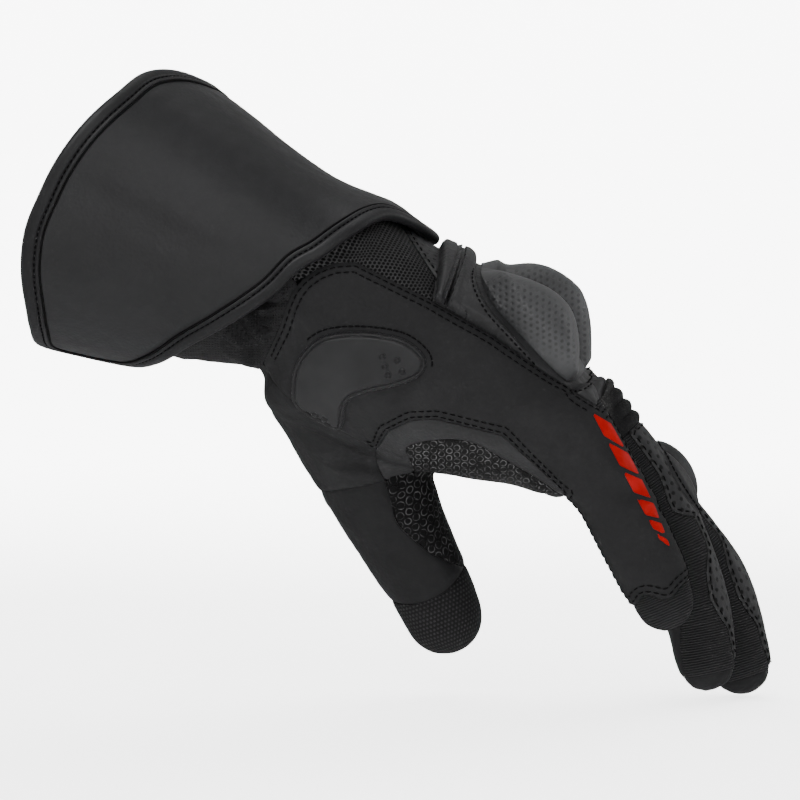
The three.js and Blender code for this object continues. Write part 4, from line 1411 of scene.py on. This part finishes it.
def roll_shape(points, inside, height, values):
    """A flat band with round edges, tighter at the gap, that sinks into the leather beside the guard."""
    from_gap, _ = to_segment(points, *ROLL_GAP)
    t = np.clip(inside / np.where(np.abs(from_gap) < 1.2, 0.45, 1.7), 0, 1)
    top = ROLL_HEIGHT * (0.3 + 0.7 * np.sqrt(t * (2 - t)))
    top -= (ROLL_HEIGHT - SURROUND_HEIGHT + 0.4) * smoothstep(1.5, 6.0, -from_gap)
    from_groove, _ = to_segment(points, *ROLL_GROOVE)
    return top - 0.8 * hump(from_groove, 0.45)


for roll in ("roll1", "roll2"):
    roll_field = np.maximum.reduce([named_field(roll), not_guard, GAP - side_field])
    panel("strap_roll_" + roll[-1], "smooth_leather", SMOOTH, roll_field, take=False, shape=roll_shape,
          inner_lift=0.2, detail=1)


def dome_frame(form):
    _, centre, along, up, across = form.at(DOME_DISTANCE)
    return centre + up * DOME_OFFSET, np.array([along, across, up])


def dome_shape(points, inside, height, values):
    """How far out from the skin the dome's ellipsoid lies."""
    directions = np.array([skin_normal(p) for p in points])
    centre, axes = dome_frame(FINGERS[dome_finger])
    p = (points - centre) @ axes.T / DOME_SIZES
    d = directions @ axes.T / DOME_SIZES
    a, b, k = (d * d).sum(1), 2 * (p * d).sum(1), (p * p).sum(1) - 1
    out = (-b + np.sqrt(np.maximum(b * b - 4 * a * k, 0))) / (2 * a)
    share = DOME_SHARES[dome_finger][0]
    return np.maximum(out * share, 0.7) * (0.3 + 0.7 * smoothstep(0, 1.8, inside) ** 0.7)


# Padded domes on the backs of the fingers
for dome_finger in RANGES:
    centre, axes = dome_frame(FINGERS[dome_finger])
    along, across, up = ((skin - centre) @ axes.T).T
    half_width = DOME_SHARES[dome_finger][1]
    field = np.where(up > -2, (np.hypot(along / 12, across / half_width) - 1) * half_width, FAR)
    panel(dome_finger + "_ridge", "smooth_leather", SMOOTH, field, take=False, shape=dome_shape,
          inner_lift=0.2, detail=1, stitches=(0.9,), pitch=2.2)


# Cuff flap and its binding
EDGE_TURNS, RIMS, FRONTS = (np.array(c, float) for c in zip(*FLAP_EDGES))


def under_flap(turn, distance):
    """A point of the flap's inner face, which flares out towards the rim."""
    grow = CUFF_CLEARANCE + CUFF_FLARE * max(0.0, FLARE_START - distance)
    return HAND.ring(WRIST_DISTANCE + distance, np.array([turn]), grow)[0]


def flap_base(turn, distance):
    """A point of the flap's inner face and the way out there."""
    t = math.radians(turn)
    here = under_flap(t, distance)
    beside = under_flap(t + 0.02, distance)
    ahead = under_flap(t, distance + 0.8)
    out = np.cross(beside - here, ahead - here)
    out /= np.linalg.norm(out)
    centre = HAND.at(WRIST_DISTANCE + distance)[1]
    if out @ (here - centre) < 0:
        out = -out
    return here, out


CORNER = 7.0


def corner_trim(turn, start, end):
    """How much shorter the flap is near its two side edges, so that its corners are round."""
    near = min(turn - start, end - turn) * 0.72
    if near >= CORNER:
        return 0.0
    return CORNER - math.sqrt(max(CORNER**2 - (CORNER - max(near, 0)) ** 2, 0))


flap_start, flap_end = EDGE_TURNS[0], EDGE_TURNS[-1]
columns, rows = 250, 70
flap_turns = np.linspace(flap_start, flap_end, columns)
smooth_rims = np.interp(flap_turns, *eased(list(zip(EDGE_TURNS, RIMS)), 1.0))
smooth_fronts = np.interp(flap_turns, *eased(list(zip(EDGE_TURNS, FRONTS)), 1.0))
outer_points, inner_points = np.empty((columns, rows, 3)), np.empty((columns, rows, 3))
for i, turn in enumerate(flap_turns):
    trim = corner_trim(turn, flap_start, flap_end)
    low, high = smooth_rims[i] + trim, smooth_fronts[i] - trim
    for j in range(rows):
        distance = low + (high - low) * j / (rows - 1)
        p, out = flap_base(turn, distance)
        inner_points[i, j] = p
        outer_points[i, j] = p + out * CUFF_THICKNESS
flat = outer_points.reshape(-1, 3)
out_directions = (outer_points - inner_points).reshape(-1, 3) / CUFF_THICKNESS
wave = 0.35 * wobble(flat, 60, 11, 2) + 0.12 * wobble(flat, 14, 12, 2)
crease, share = to_segment(flat, seen_at(70, 180), seen_at(232, 262))
wave -= 0.5 * hump(crease, 4) * between_ends(share, -0.1, 0.3) * (flat[:, 1] < 0)
column_index, row_index = np.meshgrid(np.arange(columns), np.arange(rows), indexing="ij")
to_edges = [row_index, rows - 1 - row_index, column_index, columns - 1 - column_index]
wave *= smoothstep(0, 8, np.minimum.reduce(to_edges).reshape(-1))
flap_triangles = []
for i in range(columns - 1):
    for j in range(rows - 1):
        a = i * rows + j
        flap_triangles.append((a, a + rows, a + rows + 1))
        flap_triangles.append((a, a + rows + 1, a + 1))
flap_triangles = np.array(flap_triangles)
outer = flat + out_directions * wave[:, None]
inner = inner_points.reshape(-1, 3) + out_directions * (wave * 0.6)[:, None]
if (vertex_normals(outer, flap_triangles) * out_directions).sum() < 0:
    flap_triangles = flap_triangles[:, ::-1]
finished(thick_object("cuff_flap", outer, inner, flap_triangles), "cuff_flap", CUFF)

# The flap's border as a closed line of grid points, from which the binding and its stitches follow
border = [(i, 0) for i in range(columns)] + [(columns - 1, j) for j in range(1, rows)]
border += [(i, rows - 1) for i in range(columns - 2, -1, -1)] + [(0, j) for j in range(rows - 2, 0, -1)]
grid_outer = outer.reshape(columns, rows, 3)
border_points = np.array([grid_outer[i, j] for i, j in border])
border_out = np.array([out_directions.reshape(columns, rows, 3)[i, j] for i, j in border])
steps = np.linalg.norm(np.roll(border_points, -1, 0) - border_points, axis=1)
travel = np.concatenate([[0], np.cumsum(steps)])
count = int(travel[-1] / BINDING_STEP)
where = np.arange(count) * travel[-1] / count


def along_border(values):
    closed = np.concatenate([values, values[:1]])
    return np.column_stack([np.interp(where, travel, closed[:, k]) for k in range(3)])


edge_line, edge_out = along_border(border_points), along_border(border_out)
for _ in range(BINDING_ROUNDS):
    edge_line = (np.roll(edge_line, 1, 0) + 2 * edge_line + np.roll(edge_line, -1, 0)) / 4
edge_out /= np.linalg.norm(edge_out, axis=1, keepdims=True)
ahead = np.roll(edge_line, -2, 0) - np.roll(edge_line, 2, 0)
ahead /= np.linalg.norm(ahead, axis=1, keepdims=True)
into = np.cross(edge_out, ahead)
middle = outer.mean(0)
if ((middle - edge_line) * into).sum() < 0:
    into = -into
for _ in range(4):
    into = (np.roll(into, 1, 0) + 2 * into + np.roll(into, -1, 0)) / 4
into /= np.linalg.norm(into, axis=1, keepdims=True)

# The binding's section: how far in from the edge and how far out from the flap's outer face. It has a
# low bead at its inner side, as a turned leather edge has
SECTION = [
    (5.5, -0.2), (5.35, 0.4), (5.0, 0.62), (4.5, 0.62), (4.1, 0.4), (3.95, -0.05), (3.7, -0.05),
    (3.5, 0.45), (3.0, 0.75), (1.8, 0.85), (0.7, 0.7), (-0.1, 0.3), (-0.5, -0.4), (-0.6, -1.1),
    (-0.5, -1.8), (-0.1, -2.35), (0.6, -2.6), (2, -2.7), (3.6, -2.7), (4.2, -2.5), (4.2, -1.2),
]
binding_points = []
for k in range(count):
    for inward, outward in SECTION:
        binding_points.append(edge_line[k] + into[k] * inward + edge_out[k] * outward)
binding = new_object("cuff_binding", binding_points, closed_tube_faces(count, len(SECTION)))
binding_mesh = bmesh.new()
binding_mesh.from_mesh(binding.data)
bmesh.ops.recalc_face_normals(binding_mesh, faces=binding_mesh.faces)
binding_mesh.to_mesh(binding.data)
binding_mesh.free()
binding.data.set_sharp_from_angle(angle=math.radians(BINDING_SHARP_ANGLE))
subdivision = binding.modifiers.new("Round", "SUBSURF")
subdivision.levels = subdivision.render_levels = 1
finished(binding, "cuff_binding", BINDING)
stitch_line = edge_line + into * BINDING_STITCH_INSET + edge_out * 0.2
closed_line = np.concatenate([stitch_line, stitch_line[:1]])
stitch_row("stitches_cuff_binding", [(closed_line, normal_finder(edge_line, edge_out))], "cuff_leather",
           pitch=2.0, length=1.5, radius=0.22)


def closed_tube(name, line, radius, sides, look):
    """A thin round cord along a closed line."""
    ahead = np.roll(line, -1, 0) - np.roll(line, 1, 0)
    ahead /= np.linalg.norm(ahead, axis=1, keepdims=True)
    across = np.cross(ahead, edge_out)
    across /= np.linalg.norm(across, axis=1, keepdims=True)
    up = np.cross(across, ahead)
    points = []
    for k in range(len(line)):
        for t in np.linspace(0, 2 * math.pi, sides, endpoint=False):
            points.append(line[k] + (across[k] * math.cos(t) + up[k] * math.sin(t)) * radius)
    finished(new_object(name, points, closed_tube_faces(len(line), sides)), None, look)


# Painted shadow: a near-black cord along the binding's inner edge stands in for the shadow line of the turned
# edge
binding_shadow_line = edge_line + into * BINDING_SHADOW_INSET + edge_out * 0.05
closed_tube("cuff_binding_shadow", binding_shadow_line, 0.38, 8, THREAD_AND_SHADOW_CORD)

# Camera, light and floor
camera = bpy.data.cameras.new("camera")
camera.sensor_width = 36
camera.lens = 36 * CAMERA_DISTANCE / VIEW_WIDTH
camera.clip_end = 100
camera_object = bpy.data.objects.new("camera", camera)
bpy.context.scene.collection.objects.link(camera_object)
target = Vector(CAMERA_TARGET) * MM
back = Vector((0, -math.cos(CAMERA_ELEVATION), math.sin(CAMERA_ELEVATION)))
camera_object.location = target + back * CAMERA_DISTANCE * MM
camera_object.rotation_euler = (math.pi / 2 - CAMERA_ELEVATION, 0, 0)
bpy.context.scene.camera = camera_object


def area_light(name, location, size, power, size_y=None):
    light = bpy.data.lights.new(name, "AREA")
    light.shape = "RECTANGLE"
    light.size = size
    light.size_y = size_y or size
    light.energy = power
    obj = bpy.data.objects.new(name, light)
    bpy.context.scene.collection.objects.link(obj)
    obj.location = Vector(location) + target
    direction = target - obj.location
    obj.rotation_euler = direction.to_track_quat("-Z", "Y").to_euler()
    return obj


area_light("key", (-0.5, -1.1, 1.25), 1.1, 19)
area_light("front", (0.7, -1.6, 0.2), 1.0, 5)
area_light("top", (0.1, 0.1, 1.6), 1.3, 8)
area_light("rim_left", (-1.4, 0.6, 0.45), 0.7, 2.5)
area_light("rim_right", (1.4, 0.4, 0.6), 0.7, 3)
wall_light = area_light("wall", (0, 0.6, 1.0), 2.4, 110, 0.5)
wall_light.rotation_euler = Vector((0, 1, -0.25)).to_track_quat("-Z", "Y").to_euler()

world = bpy.data.worlds.new("studio")
world.use_nodes = True
world.node_tree.nodes["Background"].inputs["Color"].default_value = (1, 1, 1, 1)
world.node_tree.nodes["Background"].inputs["Strength"].default_value = 0.3
bpy.context.scene.world = world

# A pale floor that curves up into a pale wall behind the glove
FLOOR_HEIGHT = -139.6
WALL_DISTANCE = 1700
WALL_HEIGHT = 3000
SWEEP_RADIUS = 700
SWEEP_HALF_WIDTH = 4000
profile = [(-4000, 0), (-1000, 0)]
for i in range(25):
    angle = i / 24 * math.pi / 2
    profile.append((
        WALL_DISTANCE - SWEEP_RADIUS + SWEEP_RADIUS * math.sin(angle),
        SWEEP_RADIUS * (1 - math.cos(angle)),
    ))
profile.append((WALL_DISTANCE, WALL_HEIGHT))
sweep_points, sweep_faces = [], []
for y, z in profile:
    sweep_points += [(-SWEEP_HALF_WIDTH, y, FLOOR_HEIGHT + z), (SWEEP_HALF_WIDTH, y, FLOOR_HEIGHT + z)]
for i in range(len(profile) - 1):
    sweep_faces.append((2 * i, 2 * i + 1, 2 * i + 3, 2 * i + 2))
floor = new_object("floor", sweep_points, sweep_faces)


def floor_look(tree, shader):
    speck = noise(tree, place(tree, 40), 3)
    tree.links.new(mixed(tree, speck, (0.93, 0.93, 0.93), (0.95, 0.95, 0.95)), shader.inputs["Base Color"])
    shader.inputs["Emission Color"].default_value = (1, 1, 1, 1)
    shader.inputs["Emission Strength"].default_value = FLOOR_GLOW
    # Seen from behind, the wall is clear, so that the glove can be looked at from every side
    behind = tree.nodes.new("ShaderNodeNewGeometry").outputs["Backfacing"]
    tree.links.new(math_node(tree, "SUBTRACT", 1.0, behind), shader.inputs["Alpha"])


floor.data.materials.append(material("floor", floor_look, (0.94, 0.94, 0.94), 0.9, 0.1))
floor.visible_glossy = False
